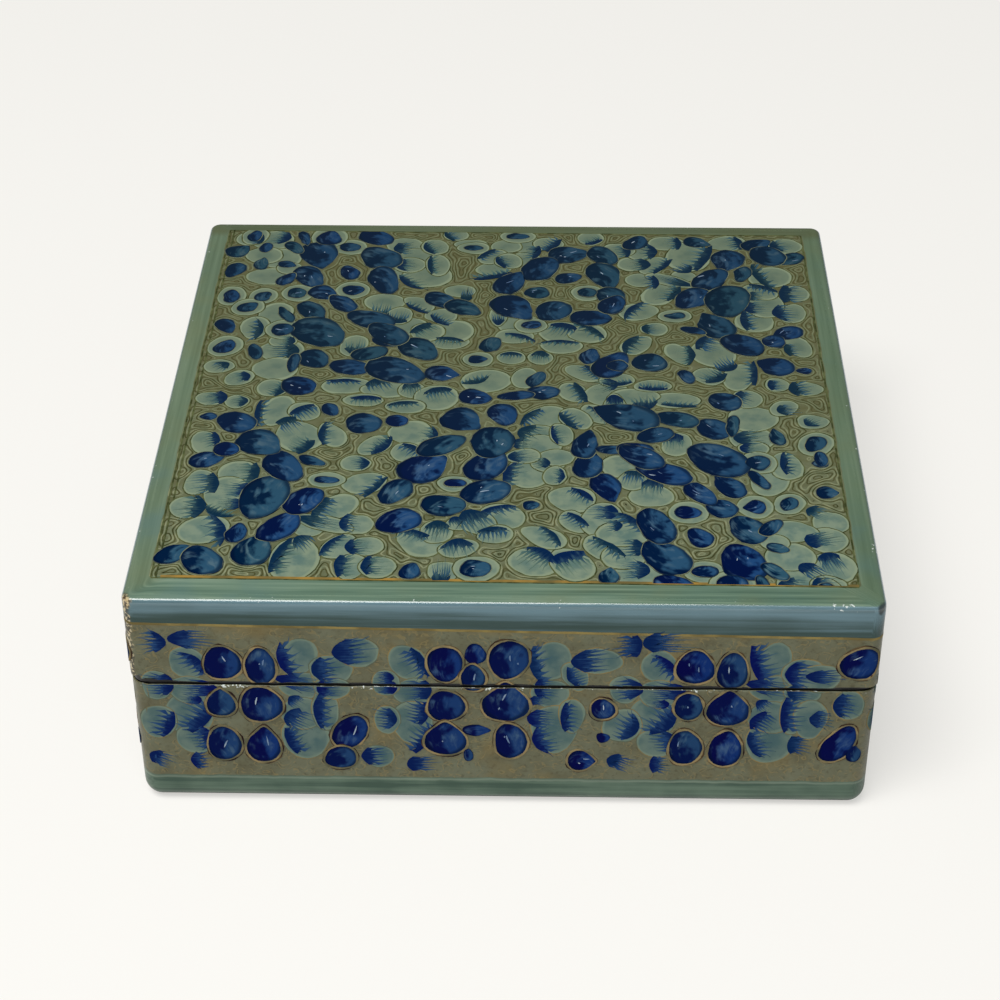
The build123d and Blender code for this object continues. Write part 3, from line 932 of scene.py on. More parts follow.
put(PETAL, TOP_PETALS, on_top)
put(PETAL, missing_petals(TOP_FEATHERS, TOP_PETALS), on_top)
put(FEATHER, TOP_FEATHERS, on_top)
put(LEAF, TOP_LEAVES, on_top)
put(BUD, TOP_BUDS, on_top)
for side in range(4):
    sprays = (SPRAY_A, SPRAY_B, SPRAY_A) if side in (FRONT, BACK) else (SPRAY_B, SPRAY_A, SPRAY_B)
    amount = 0.15 if side == FRONT else 1.0
    for kind in (PETAL, FEATHER, LEAF):
        for spray, place in zip(sprays, SPRAY_PLACES):
            put(kind, spray[kind], on_side, place, sheet_origin(side), amount)
            if kind == PETAL:
                more = missing_petals(spray[FEATHER], spray[PETAL], low=9.0, high=30.0)
                put(PETAL, more, on_side, place, sheet_origin(side), amount)
        put(kind, BETWEEN[kind], on_side, 0.0, sheet_origin(side), amount)
strokes.sort(key=lambda stroke: stroke[0])
strokes = np.array(strokes)
print(len(strokes), "strokes on the sheet")

# %% [markdown]
# ### The order of the strokes
# A stroke that lies on another must be a little higher, or the two would fight for the same
# place. Each stroke's level is one more than the highest it overlaps, and the levels share the
# depth that the paint has.

# %% Stack the strokes
ON_LID_TOP = strokes[:, 2] > SIDES_START
RING_WIDTH = 0.32 * MM  # the gold ring round each leaf on the sides


def rim_of(stroke, swell):
    """Points round a stroke's oval, and its middle."""
    _, x, y, length, width, turn = stroke
    angles = np.linspace(0, 2 * math.pi, 16, endpoint=False)
    along = np.append((length / 2 + swell) * np.cos(angles), 0.0)
    across = np.append((width / 2 + swell) * np.sin(angles), 0.0)
    xs = x + along * math.cos(turn) - across * math.sin(turn)
    ys = y + along * math.sin(turn) + across * math.cos(turn)
    return xs, ys


def stacked(rows, margins):
    """The height of each stroke in the stack: one more than any it overlaps below it."""
    rims = [rim_of(row, margin) for row, margin in zip(rows, margins)]
    reaches = rows[:, 3:5].max(axis=1) / 2 + margins
    levels = np.zeros(len(rows))
    for number, row in enumerate(rows):
        apart = np.hypot(rows[:number, 1] - row[1], rows[:number, 2] - row[2])
        near = np.flatnonzero(apart < reaches[:number] + reaches[number])
        under = [
            other for other in near
            if (reach_of(rows[other], *rims[number], margins[other]) < 0).any()
            or (reach_of(row, *rims[other], margins[number]) < 0).any()
        ]
        if under:
            levels[number] = levels[under].max() + 1
    return levels


# room round each stroke for its edging, and for the rings of the sides' leaves
margins = np.where((strokes[:, 0] == LEAF) & ~ON_LID_TOP, 0.75 * MM, 0.35 * MM)
stack = stacked(strokes, margins)
FIRST_LEVEL = 0.014 * MM
TOP_EASE = 0.002 * MM  # left free under the CAD model's faces
LEVEL_STEP = (PAINT_DEPTH - FIRST_LEVEL - TOP_EASE) / (stack.max() + 1)
STROKE_ROOT = 0.02 * MM  # how far a stroke reaches into the skin
print(f"stack of {int(stack.max()) + 1} levels, {LEVEL_STEP / MM:.4f} mm each")

# %% [markdown]
# ## Brushes
# A brush is the outline of one stroke, one unit long and one wide, as a thin closed plate. It
# carries its own coordinates as an attribute, so a material can darken a leaf towards its tip
# wherever the leaf lies. Leaves are eggs and drops, and feathers are crescents with pointed
# teeth; each has a few variants.

# %% Make a brush
def brush(box, outline):
    """Add one brush to a collection: a plate whose points know their place on it."""
    mesh = bmesh.new()
    top = [mesh.verts.new((x, y, 0.0)) for x, y in outline]
    low = [mesh.verts.new((x, y, -1.0)) for x, y in outline]
    mesh.faces.new(top)
    mesh.faces.new(low[::-1])
    for here in range(len(top)):
        before = here - 1
        mesh.faces.new((top[before], low[before], low[here], top[here]))
    bmesh.ops.recalc_face_normals(mesh, faces=mesh.faces)
    bmesh.ops.triangulate(mesh, faces=mesh.faces, ngon_method="EAR_CLIP")
    data = bpy.data.meshes.new("brush")
    mesh.to_mesh(data)
    mesh.free()
    places = data.attributes.new("stroke", "FLOAT_VECTOR", "POINT")
    places.data.foreach_set("vector", [value for x, y in outline * 2 for value in (x, y, 0.0)])
    piece = bpy.data.objects.new(f"brush_{len(box.objects)}", data)
    box.objects.link(piece)


def egg(points, taper, point=0.0, lean=0.0):
    """An oval that narrows towards +x; point draws that end out."""
    outline = []
    for step in range(points):
        angle = 2 * math.pi * step / points
        x, y = math.cos(angle), math.sin(angle)
        y *= (1 - taper * x) * (1 - point * max(x, 0.0) ** 2)
        outline.append((x / 2, y / 2 + lean * x * x / 2 - lean / 4))
    return outline


def feather(teeth, body, bulge, lean, seed):
    """A crescent, its back towards -x, with long fine teeth that curve towards +x."""
    roll = np.random.default_rng(seed)

    def back(y):
        return -0.5 + bulge * (2 * y) ** 2

    outline = [(back(y), y) for y in np.linspace(0.5, -0.5, 9)]
    for tooth in range(teeth):
        low = -0.5 + tooth / teeth
        middle, high = low + 0.5 / teeth, low + 1 / teeth
        taper = 1 - 0.6 * (2 * middle) ** 2
        tip = back(middle) + (0.5 - back(middle)) * taper * roll.uniform(0.5, 1.0)
        sway = (lean + 0.8 * middle) / teeth * roll.uniform(0.6, 1.6)
        shoulder = back(middle) + (tip - back(middle)) * 0.6
        outline.append((shoulder, middle + sway * 0.3 - 0.16 / teeth))
        outline.append((tip, middle + sway))
        outline.append((shoulder, middle + sway * 0.3 + 0.12 / teeth))
        if tooth < teeth - 1:
            thick = body * (1 - 0.75 * (2 * high) ** 2) * roll.uniform(0.6, 1.4)
            outline.append((back(high) + max(thick, 0.05), high))
    return outline


def brush_box(name, outlines):
    box = bpy.data.collections.new(name)
    for outline in outlines:
        brush(box, outline)
    return box


OVAL_POINTS = 26
leaf_brushes = brush_box("leaf brushes", [
    egg(OVAL_POINTS, 0.08), egg(OVAL_POINTS, 0.2), egg(OVAL_POINTS, -0.16),
    egg(OVAL_POINTS, 0.25, point=0.45), egg(OVAL_POINTS, 0.12, lean=0.14),
])
petal_brushes = brush_box("petal brushes", [
    egg(OVAL_POINTS, -0.12), egg(OVAL_POINTS, 0.05),
    egg(OVAL_POINTS, -0.2), egg(OVAL_POINTS, 0.0, lean=0.1),
])
feather_brushes = brush_box("feather brushes", [
    feather(8, 0.40, 0.24, 0.7, 1), feather(9, 0.44, 0.3, -0.7, 2),
    feather(7, 0.46, 0.2, 0.4, 3), feather(10, 0.38, 0.34, 0.8, 4),
    feather(8, 0.42, 0.4, -0.9, 5), feather(9, 0.36, 0.22, 0.0, 6),
])
hair_brushes = brush_box("hair brushes", [
    feather(6, 0.06, 0.3, 0.5, 7), feather(7, 0.05, 0.26, -0.6, 8), feather(8, 0.06, 0.34, 0.2, 9),
])
glint_brushes = brush_box("glint brushes", [
    egg(10, 0.3, point=0.3, lean=0.5), egg(10, 0.0, lean=-0.6),
])
brush_boxes = (leaf_brushes, petal_brushes, feather_brushes, hair_brushes, glint_brushes)

# %% [markdown]
# ## Two recipes in Geometry Nodes
# The first stamps a brush on every point of a mesh, turned and stretched by the point's own
# attributes, and shakes the outlines so that no two are alike. The second draws a line: it
# turns edges into a curve, shakes it, lets its width swell and shrink, and gives it a flat
# section.

# %% Start and run a recipe
def recipe(name, **inputs):
    """A new tree with a geometry input and output, and a Wire for each named input."""
    group = bpy.data.node_groups.new(name, "GeometryNodeTree")
    group.interface.new_socket("Geometry", in_out="INPUT", socket_type="NodeSocketGeometry")
    for label, kind in inputs.items():
        group.interface.new_socket(label, in_out="INPUT", socket_type="NodeSocket" + kind)
    group.interface.new_socket("Geometry", in_out="OUTPUT", socket_type="NodeSocketGeometry")
    tree = Tree(group)
    entry = group.nodes.new("NodeGroupInput")
    return tree, {socket.name: Wire(tree, socket) for socket in entry.outputs if socket.name}


def close_recipe(tree, geometry, material):
    painted = tree.node("GeometryNodeSetMaterial", {"Geometry": geometry, "Material": material})
    tree.join(painted, tree.tree.nodes.new("NodeGroupOutput").inputs["Geometry"])


def run_recipe(tree, source, **values):
    """Evaluate the recipe on a mesh and return the plain mesh that it makes."""
    carrier = bpy.data.objects.new("carrier", source)
    bpy.context.scene.collection.objects.link(carrier)
    modifier = carrier.modifiers.new("recipe", "NODES")
    modifier.node_group = tree.tree
    for item in tree.tree.interface.items_tree:
        if item.in_out == "INPUT" and item.name in values:
            modifier[item.identifier] = values[item.name]
    depsgraph = bpy.context.evaluated_depsgraph_get()
    made = bpy.data.meshes.new_from_object(carrier.evaluated_get(depsgraph))
    bpy.data.objects.remove(carrier)
    return made


def shake(tree, geometry, amount, grain, seed):
    """Move points sideways by a noise that doesn't depend on height, so walls stay upright."""
    x, y, _ = tree.split(tree.node("GeometryNodeInputPosition"))
    flat = tree.vector(x, y, seed)
    cloud = tree.node("ShaderNodeTexNoise", {"Vector": flat, "Scale": grain, "Detail": 1.0}, out=1)
    middle = tree.node("ShaderNodeVectorMath", [cloud, (0.5, 0.5, 0.5)], operation="SUBTRACT")
    reach = tree.vector(amount, amount)
    offset = tree.node("ShaderNodeVectorMath", [middle, reach], operation="MULTIPLY")
    return tree.node("GeometryNodeSetPosition", {"Geometry": geometry, "Offset": offset})


# %% The stamping recipe
stamps, given = recipe(
    "stamp strokes", Brushes="Collection", Shake="Float", Grain="Float", Seed="Float",
    Paint="Material",
)


def own(name, kind):
    return stamps.node("GeometryNodeInputNamedAttribute", {"Name": name}, data_type=kind)


chosen = stamps.node("GeometryNodeCollectionInfo", {
    "Collection": given["Brushes"], "Separate Children": True, "Reset Children": True,
})
turned_by = stamps.vector(0.0, 0.0, own("turn", "FLOAT"))
placed = stamps.node("GeometryNodeInstanceOnPoints", {
    "Points": given["Geometry"], "Instance": chosen, "Pick Instance": True,
    "Instance Index": own("brush", "INT"), "Rotation": turned_by,
    "Scale": own("size", "FLOAT_VECTOR"),
})
flattened = stamps.node("GeometryNodeRealizeInstances", [placed])
shaken_strokes = shake(stamps, flattened, given["Shake"], given["Grain"], given["Seed"])
close_recipe(stamps, shaken_strokes, given["Paint"])

# %% The line recipe
lines, given = recipe(
    "draw lines", Width="Float", Depth="Float", Step="Float", Shake="Float", Grain="Float",
    Paint="Material",
)
curve = lines.node("GeometryNodeMeshToCurve", [given["Geometry"]])
evenly = {"Curve": curve, "Length": given["Step"]}
curve = lines.node("GeometryNodeResampleCurve", evenly, mode="LENGTH")
curve = shake(lines, curve, given["Shake"], given["Grain"], 0.0)
curve = lines.node("GeometryNodeCurveSplineType", [curve], spline_type="CATMULL_ROM")
curve = lines.node("GeometryNodeSetSplineResolution", {"Geometry": curve, "Resolution": 2})
curve = lines.node("GeometryNodeSetCurveNormal", [curve], mode="Z_UP")
swell = lines.noise(lines.node("GeometryNodeInputPosition"), given["Grain"] * 1.7, detail=1.0)
curve = lines.node("GeometryNodeSetCurveRadius", {"Curve": curve, "Radius": 0.25 + swell * 1.5})
section = lines.node("GeometryNodeCurvePrimitiveQuadrilateral", {
    "Width": given["Width"], "Height": given["Depth"],
})
ribbon = lines.node("GeometryNodeCurveToMesh", {
    "Curve": curve, "Profile Curve": section, "Fill Caps": True,
})
close_recipe(lines, ribbon, given["Paint"])
print("recipes:", stamps.tree.name, "and", lines.tree.name)

# %% [markdown]
# ## The paints of the strokes
# Every stroke carries a random tone, so no two leaves have quite the same blue. A leaf is two
# loads of the brush: navy first, then a lighter blue dragged through it while it is wet, which
# leaves streaks along the leaf. Feathering thins out towards the tips of its teeth.

# %% Leaf, petal and feather paints
def own_place(finish):
    """The stroke's own coordinates and its random tone."""
    return finish.split(finish.attribute("stroke", out="Vector")), finish.attribute("tone")


def to_the_right(finish, u, v):
    """How far towards the box's right a point of the stroke lies, whichever way it is turned."""
    turn = finish.attribute("turn")
    return u * turn.math("COSINE", turn) - v * turn.math("SINE", turn)


STROKE_VARNISH = {"Specular IOR Level": 0.0, "Coat Weight": 0.03}


def low_down(finish, where):
    """1 on the sides of the box, 0 on the lid's top."""
    return finish.split(where)[2].rise(TOP_START + 0.1, TOP_START - 0.6)


def toward_back(finish, where):
    """1 at the lid's back, where the paints are darker and duller, and 0 at its front and the
    sides.
    """
    return finish.split(where)[1].rise(-50.0, 20.0) * (1 - low_down(finish, where))


def dulled(finish, where, colour):
    """A blue, darker and duller towards the lid's back."""
    return finish.mix(toward_back(finish, where) * 0.42, colour, paint(28, 44, 46))


def shade(finish, sides, tone, on_lid, on_sides):
    """A colour that drifts with the tone between two on the lid, and two on the sides."""
    lid, side = (
        finish.mix(tone, paint(*first), paint(*second)) for first, second in (on_lid, on_sides)
    )
    return finish.mix(sides, lid, side)


def leaf_paint():
    leaf = Finish("leaf blue", **STROKE_VARNISH)
    (u, v, _), tone = own_place(leaf)
    where = leaf.place()
    sides = low_down(leaf, where)
    rim = (u * u + v * v) ** 0.5

    # three unlike noises: smoke over the leaf, streaks along it, and arcs round its tip
    apart = leaf.vector(tone * 90, tone * 37, 0.0)
    shifted = leaf.node("ShaderNodeVectorMath", [where, apart], operation="ADD")
    smoke = leaf.noise(shifted, 0.3, detail=2.5, roughness=0.55)
    bow = v + u * u * 0.9 + smoke * 0.4
    drawn_out = leaf.vector(u * 1.5 + tone * 31, bow * 4.5, tone * 57)
    streaks = leaf.noise(drawn_out, 1.5, detail=4.0, roughness=0.6)
    off_middle = ((u - 0.3) ** 2 + (v + 0.35) ** 2) ** 0.5
    round_tip = leaf.vector(off_middle * 7.0 + smoke * 1.5, tone * 19, tone * 71)
    arcs = leaf.noise(round_tip, 1.0, detail=2.5)
    arcs = arcs * (1 - sides * 0.8) + sides * 0.4

    deep = shade(leaf, sides, tone, [(3, 14, 58), (3, 28, 54)], [(4, 6, 62), (4, 20, 64)])
    middle = shade(leaf, sides, tone, [(26, 62, 110), (42, 77, 95)], [(15, 42, 100), (33, 63, 95)])
    lit = smoke * 1.1 + to_the_right(leaf, u, v) * 0.6 + streaks * 0.3 + arcs * 0.5 + tone * 0.1
    colour = leaf.mix(lit.rise(0.9, 1.12), deep, middle)
    pale = leaf.mix(tone, paint(64, 90, 122), paint(78, 102, 110))
    lifted = (smoke * 0.7 + streaks * 0.6 + arcs * 0.8).rise(1.06, 1.36) * rim.rise(0.5, 0.36)
    colour = leaf.mix(lifted * 0.9, colour, pale)
    colour = leaf.mix((rim + smoke * 0.12).rise(0.46, 0.56) * 0.7, colour, paint(2, 12, 40))
    leaf.colour(dulled(leaf, where, colour))
    return leaf.material


def petal_fill(petal, tone):
    """The sage of the petals: greyer and bluer on the sides than on the lid."""
    where = petal.place()
    wash = petal.noise(where, 0.4, detail=3.0)
    fill = petal.mix(wash.rise(0.35, 0.65), paint(85, 109, 102), paint(119, 134, 115))
    fill = petal.mix(tone * 0.2, fill, paint(99, 119, 111))
    fill = petal.mix(toward_back(petal, where) * 0.7, fill, paint(88, 101, 84))
    low = petal.mix(wash.rise(0.3, 0.7), paint(60, 84, 90), paint(84, 102, 100))
    return petal.mix(low_down(petal, where) * 0.8, fill, low)


def petal_paint():
    petal = Finish("petal sage", **STROKE_VARNISH)
    (u, v, _), tone = own_place(petal)
    fill = petal_fill(petal, tone)
    rim = (u * u + v * v) ** 0.5
    above = 1 - low_down(petal, petal.place()) * 0.6
    fill = petal.mix(rim.rise(0.1, 0.4) * above * 0.3, fill, paint(124, 136, 110))
    petal.colour(petal.mix(rim.rise(0.42, 0.48) * above * 0.8, fill, paint(130, 142, 116)))
    return petal.material


def feather_paint():
    feathering = Finish("feathering blue", **STROKE_VARNISH)
    (u, v, _), tone = own_place(feathering)
    where = feathering.place()
    sides = low_down(feathering, where)
    drawn_out = feathering.vector(u * 1.5 + tone * 23, v * 14.0, tone * 41)
    hair = feathering.noise(drawn_out, 1.2, detail=2.0)
    cloud = feathering.noise(where, 0.8, detail=3.0)
    thin = (u + hair * 0.8 + cloud * 0.5).rise(0.3, 1.0)
    deep = shade(feathering, sides, tone, [(6, 30, 70), (14, 42, 62)], [(5, 16, 76), (8, 34, 74)])
    light = shade(feathering, sides, tone, [(56, 86, 100), (64, 90, 86)], [(44, 76, 116)] * 2)
    feathering.colour(dulled(feathering, where, feathering.mix(thin, deep, light)))
    return feathering.material


def hair_paint():
    hairs = Finish("feathering, thin", **STROKE_VARNISH)
    (u, _, _), tone = own_place(hairs)
    sides = low_down(hairs, hairs.place())
    near = shade(hairs, sides, tone, [(40, 72, 96), (52, 82, 84)], [(30, 58, 100)] * 2)
    far = shade(hairs, sides, tone, [(88, 114, 112), (96, 116, 98)], [(66, 92, 104)] * 2)
    hairs.colour(hairs.mix((u + tone * 0.2).rise(-0.25, 0.4), near, far))
    return hairs.material


# %% Paints of two colours, and all the paints
def plain_paint(name, first, second, scale=0.6, back_colour=None):
    """A paint that drifts between two colours, and may fade to a third at the lid's back."""
    finish = Finish(name, **STROKE_VARNISH)
    where = finish.place()
    drift = finish.noise(where, scale, detail=3.0)
    colour = finish.mix(drift.rise(0.35, 0.65), paint(*first), paint(*second))
    if back_colour:
        colour = finish.mix(toward_back(finish, where) * 0.6, colour, paint(*back_colour))
    finish.colour(colour)
    return finish.material


PAINTS = {
    "leaf": leaf_paint(),
    "petal": petal_paint(),
    "feather": feather_paint(),
    "hair": hair_paint(),
    "glint": plain_paint("glint blue-white", (84, 108, 140), (150, 164, 176), scale=0.3),
    "leaf_edge": plain_paint("leaf edge", (14, 32, 52), (112, 118, 92), scale=0.3),
    "side_petal_edge": plain_paint("side petal edge", (84, 90, 76), (130, 112, 72), scale=0.3),
    "petal_edge": plain_paint("petal edge olive", (54, 60, 34), (88, 94, 60)),
    "contour": plain_paint("contour olive", (54, 58, 32), (80, 80, 50), back_colour=(76, 76, 48)),
    "ring": plain_paint("ring cream", (104, 112, 86), (130, 134, 104), back_colour=(92, 98, 70)),
    "side_ring": plain_paint("side ring gold", (88, 86, 66), (136, 120, 86), scale=0.3),
    "outline": plain_paint("outline brown", (34, 22, 26), (90, 74, 52), scale=0.3),
    "gold": plain_paint("border gold", (152, 120, 58), (102, 90, 54), scale=0.16),
    "dull_gold": plain_paint("dull gold", (134, 118, 72), (104, 92, 58), scale=0.3),
}
print("paints:", ", ".join(PAINTS))

# %% [markdown]
# ## Stamp the strokes
# One point per stroke, with its turn, size and tone as attributes. Leaves and petals get a
# slightly larger stroke under them: it shows as a thin line of edging all round.

# %% Stamp a layer
BRUSH_BOXES = {
    PETAL: petal_brushes, HAIR: hair_brushes, FEATHER: feather_brushes, LEAF: leaf_brushes,
}


def stroke_points(rows, heights, swell=0.0):
    """A mesh of points that carry what the stamping recipe needs."""
    # tone and variant come from the place, so a leaf and its edging agree
    seeds = [abs(math.sin(x / MM * 12.9 + y / MM * 78.2) * 43758.5) for _, x, y, *_ in rows]
    sizes = [
        (length + 2 * swell, width + 2 * swell, height + STROKE_ROOT)
        for (*_, length, width, _), height in zip(rows, heights)
    ]
    carried = {
        "size": ("FLOAT_VECTOR", "vector", np.ravel(sizes)),
        "turn": ("FLOAT", "value", [row[5] for row in rows]),
        "tone": ("FLOAT", "value", [seed % 1 for seed in seeds]),
        "brush": ("INT", "value", [int(seed) for seed in seeds]),
    }
    mesh = bpy.data.meshes.new("points")
    places = [(x, y, height) for (_, x, y, *_), height in zip(rows, heights)]
    mesh.from_pydata(places, [], [])
    for name, (kind, key, values) in carried.items():
        mesh.attributes.new(name, kind, "POINT").data.foreach_set(key, values)
    return mesh


def stamped(kind, name, swell=0.0, rise=0.0, only=True, amount=0.5 * MM, grain=0.55 / MM, seed=0.0):
    """One layer: the strokes of a kind, each at its level plus a share of a level."""
    chosen = (strokes[:, 0] == kind) & only
    heights = FIRST_LEVEL + (stack[chosen] + rise) * LEVEL_STEP
    return run_recipe(
        stamps, stroke_points(strokes[chosen], heights, swell), Brushes=BRUSH_BOXES[kind],
        Shake=amount, Grain=grain, Seed=seed, Paint=PAINTS[name],
    )


ringed = ~ON_LID_TOP & (strokes[:, 4] > 3.3 * MM)  # the sides' small leaves have no gold ring
outline_swell = RING_WIDTH + 0.08 * MM
LID_SHAKE = {"amount": 0.8 * MM, "grain": 0.4 / MM, "only": ON_LID_TOP}
layers = {
    "petal_edges": stamped(PETAL, "petal_edge", swell=0.22 * MM, only=ON_LID_TOP),
    "side_petal_edges": stamped(PETAL, "side_petal_edge", swell=0.15 * MM, only=~ON_LID_TOP),
    "petals": stamped(PETAL, "petal", rise=0.4),
    "hairs": stamped(HAIR, "hair", rise=0.4),
    "feathering": stamped(FEATHER, "feather", rise=0.4),
    "leaf_edges": stamped(LEAF, "leaf_edge", swell=0.14 * MM, **LID_SHAKE),
    "leaves": stamped(LEAF, "leaf", rise=0.5, **LID_SHAKE),
    "leaf_outlines": stamped(
        LEAF, "outline", swell=outline_swell, only=ringed, amount=0.9 * MM, seed=3.0,
    ),
    "side_rings": stamped(
        LEAF, "side_ring", swell=RING_WIDTH, rise=0.25, only=ringed, seed=1.0,
    ),
    "side_leaves": stamped(LEAF, "leaf", rise=0.5, only=~ON_LID_TOP),
}

# %% [markdown]
# ### Glints
# On the rounder leaves the painter left a pale flick or a few specks with the tip of the brush.
# They are partly pale brush marks and partly painted highlights, where the varnish glints.

# %% Stamp the glints
def glints_on(place, share, lengths, widths):
    """Small strokes on a share of the large leaves, sized between two lengths and two widths."""
    large = np.flatnonzero((strokes[:, 0] == LEAF) & (strokes[:, 4] > 3.4 * MM) & place)
    shiny = np.sort(dice.choice(large, int(share * len(large)), replace=False))
    rows = strokes[shiny].copy()
    rows[:, 1:3] += dice.uniform(-1, 1, (len(shiny), 2)) * rows[:, 3:5] * 0.2
    rows[:, 3] = dice.uniform(*lengths, len(shiny)) * MM
    rows[:, 4] = dice.uniform(*widths, len(shiny)) * MM
    rows[:, 5] += dice.uniform(-0.5, 0.5, len(shiny))
    return rows, stack[shiny]


# pale strokes on a share of the leaves: brush marks and painted highlights
glints = [
    glints_on(ON_LID_TOP, 0.14, (0.9, 1.8), (0.14, 0.24)),
    glints_on(~ON_LID_TOP, 0.5, (1.0, 2.1), (0.16, 0.28)),
    glints_on(ON_LID_TOP, 0.25, (0.25, 0.5), (0.16, 0.24)),
    glints_on(ON_LID_TOP, 0.4, (0.4, 1.1), (0.1, 0.18)),
    glints_on(~ON_LID_TOP, 0.4, (0.25, 0.6), (0.16, 0.24)),
]
glint_rows, glint_levels = (np.concatenate(parts) for parts in zip(*glints))
glint_rises = np.linspace(0.7, 0.9, len(glint_levels))
glint_heights = FIRST_LEVEL + (glint_levels + glint_rises) * LEVEL_STEP
layers["glints"] = run_recipe(
    stamps, stroke_points(glint_rows, glint_heights), Brushes=glint_brushes,
    Shake=0.2 * MM, Grain=0.8 / MM, Seed=0.0, Paint=PAINTS["glint"],
)
print({name: len(mesh.polygons) for name, mesh in layers.items()})

# %% [markdown]
# ## The contour lines
# The ground between the flowers is filled with fine olive lines that follow every outline at
# a steady gap and close into small loops where the gaps are wide. That is what the contours
# of a distance field do, so the field is worked out on a grid, and each contour is cut out of
# it cell by cell: a line crosses a cell where the field passes the contour's value on two of
# its sides.

# %% Contours of a field
def contours(field, xs, ys, value):
    """The points and edges where a field on a grid crosses a value."""
    above = field > value
    points, numbers = [], []
    for axis in (1, 0):  # crossings between columns, then between rows
        low = [slice(None), slice(None)]
        high = [slice(None), slice(None)]
        low[axis], high[axis] = slice(None, -1), slice(1, None)
        low, high = tuple(low), tuple(high)
        crossed = above[low] != above[high]
        number = np.full(crossed.shape, -1)
        number[crossed] = len(points) + np.arange(crossed.sum())
        numbers.append(number)
        rows, columns = np.nonzero(crossed)
        share = (value - field[low][crossed]) / (field[high][crossed] - field[low][crossed])
        step = xs[1] - xs[0]
        x = xs[columns] + share * step * (axis == 1)
        y = ys[rows] + share * step * (axis == 0)
        points += list(zip(x, y))
    across, upwards = numbers
    cells = np.stack([across[:-1], upwards[:, 1:], across[1:], upwards[:, :-1]], axis=-1)
    crossings = (cells >= 0).sum(axis=-1)
    twice = np.sort(cells[crossings == 2], axis=-1)[:, 2:]
    full = cells[crossings == 4]
    return points, np.concatenate([twice, full[:, :2], full[:, 2:]])


def line_mesh(parts, height):
    """One mesh of edges from several (points, edges) pairs, all at one height."""
    points, edges = [], []
    for part_points, part_edges in parts:
        edges += [(a + len(points), b + len(points)) for a, b in part_edges]
        points += [(x, y, height) for x, y in part_points]
    mesh = bpy.data.meshes.new("lines")
    mesh.from_pydata(points, edges, [])
    return mesh


FAR_OFF = 9.0 * MM  # the field's height where no stroke is near
FIELD_REACH = 7.0 * MM


def field_of(rows, low, high, spacing):
    """Distance to the nearest of the rows, on a grid over a rectangle of the sheet."""
    xs = np.arange(low[0], high[0], spacing)
    ys = np.arange(low[1], high[1], spacing)
    field = np.full((len(ys), len(xs)), FAR_OFF)
    for row in rows:
        reach = row[3:5].max() / 2 + FIELD_REACH
        columns = (xs > row[1] - reach) & (xs < row[1] + reach)
        lines_in = (ys > row[2] - reach) & (ys < row[2] + reach)
        patch = np.ix_(lines_in, columns)
        near = reach_of(row, xs[columns][None, :], ys[lines_in][:, None])
        field[patch] = np.minimum(field[patch], near)
    return field, xs, ys


def softened(field, times):
    """The field with each point averaged with its neighbours, which rounds its ridges."""
    for _ in range(times):
        for axis, padding in enumerate([((1, 1), (0, 0)), ((0, 0), (1, 1))]):
            wide = np.pad(field, padding, mode="edge")
            places = np.arange(field.shape[axis])
            low, middle, high = (np.take(wide, places + step, axis) for step in range(3))
            field = (low + 2 * middle + high) / 4
    return field


# %% Contours on the lid
GRID = 0.2 * MM
LINE_DEPTH = 0.03 * MM
line_height = 0.011 * MM - LINE_DEPTH / 2
LEAN_ROOM = 0.6  # the field's front and back lines lean this far past their middles
field_low = (FIELD_LEFT * MM, (FIELD_FRONT - LEAN_ROOM) * MM)
field_high = (FIELD_RIGHT * MM, (FIELD_BACK + LEAN_ROOM) * MM)
on_lid = strokes[ON_LID_TOP]
field, xs, ys = field_of(on_lid, field_low, field_high, GRID)
grid_x, grid_y = np.meshgrid(xs, ys)
to_border = np.minimum.reduce([grid_x - xs[0], xs[-1] - grid_x, grid_y - ys[0], ys[-1] - grid_y])
field = np.minimum(field, to_border + 0.1 * MM)
sway_x, sway_y = 2 * np.sin(grid_y / MM * 0.4), np.sin(grid_x / MM * 0.5)
ripple = np.sin(grid_x / MM * 0.9 + sway_x) * np.sin(grid_y / MM * 1.1 + sway_y)
field = softened(field + 0.5 * MM * ripple * np.clip(field / MM - 0.3, 0, 1), 4)
LID_RINGS = (0.34, 0.86, 1.4, 1.95, 2.5)  # pale lines
LID_CONTOURS = (0.6, 1.14, 1.68, 2.22, 2.9)  # olive lines between them


def contour_lines(values, height):
    return line_mesh([contours(field, xs, ys, value * MM) for value in values], height)


lid_rings = contour_lines(LID_RINGS, line_height - 0.002 * MM)
lid_lines = contour_lines(LID_CONTOURS, line_height)
print("lid contours:", len(lid_lines.edges) + len(lid_rings.edges), "edges")

# %% Draw the lines
LINE_STEP = 0.8 * MM


def drawn(source, width, name, amount=0.5 * MM, grain=0.5 / MM):
    return run_recipe(
        lines, source, Width=width, Depth=LINE_DEPTH, Step=LINE_STEP,
        Shake=amount, Grain=grain, Paint=PAINTS[name],
    )


layers["rings"] = drawn(lid_rings, 0.27 * MM, "ring")
layers["contours"] = drawn(lid_lines, 0.23 * MM, "contour")
print({name: len(layers[name].polygons) for name in ("rings", "contours")})

# %% [markdown]
# ## The gold lines
# A bright line of gold closes the lid's field at the front. The other three sides have a
# thinner olive one, and one more gold line runs round the lid just under the border.

# %% Draw the gold and border lines
LEFT_END, RIGHT_END = FIELD_LEFT + 0.3, FIELD_RIGHT - 0.3
RULED = {"amount": 0.2 * MM, "grain": 0.2 / MM}  # a ruled line shakes little
gold_height = 0.02 * MM - LINE_DEPTH / 2


def straight(start, end, pieces=60):
    points = [tuple(point) for point in np.linspace(start, end, pieces + 1) * MM]
    return points, [(step, step + 1) for step in range(pieces)]


def leaning(x, y):
    """A point of the field's front or back line, which leans a little."""
    return x, y + FIELD_LEAN * x


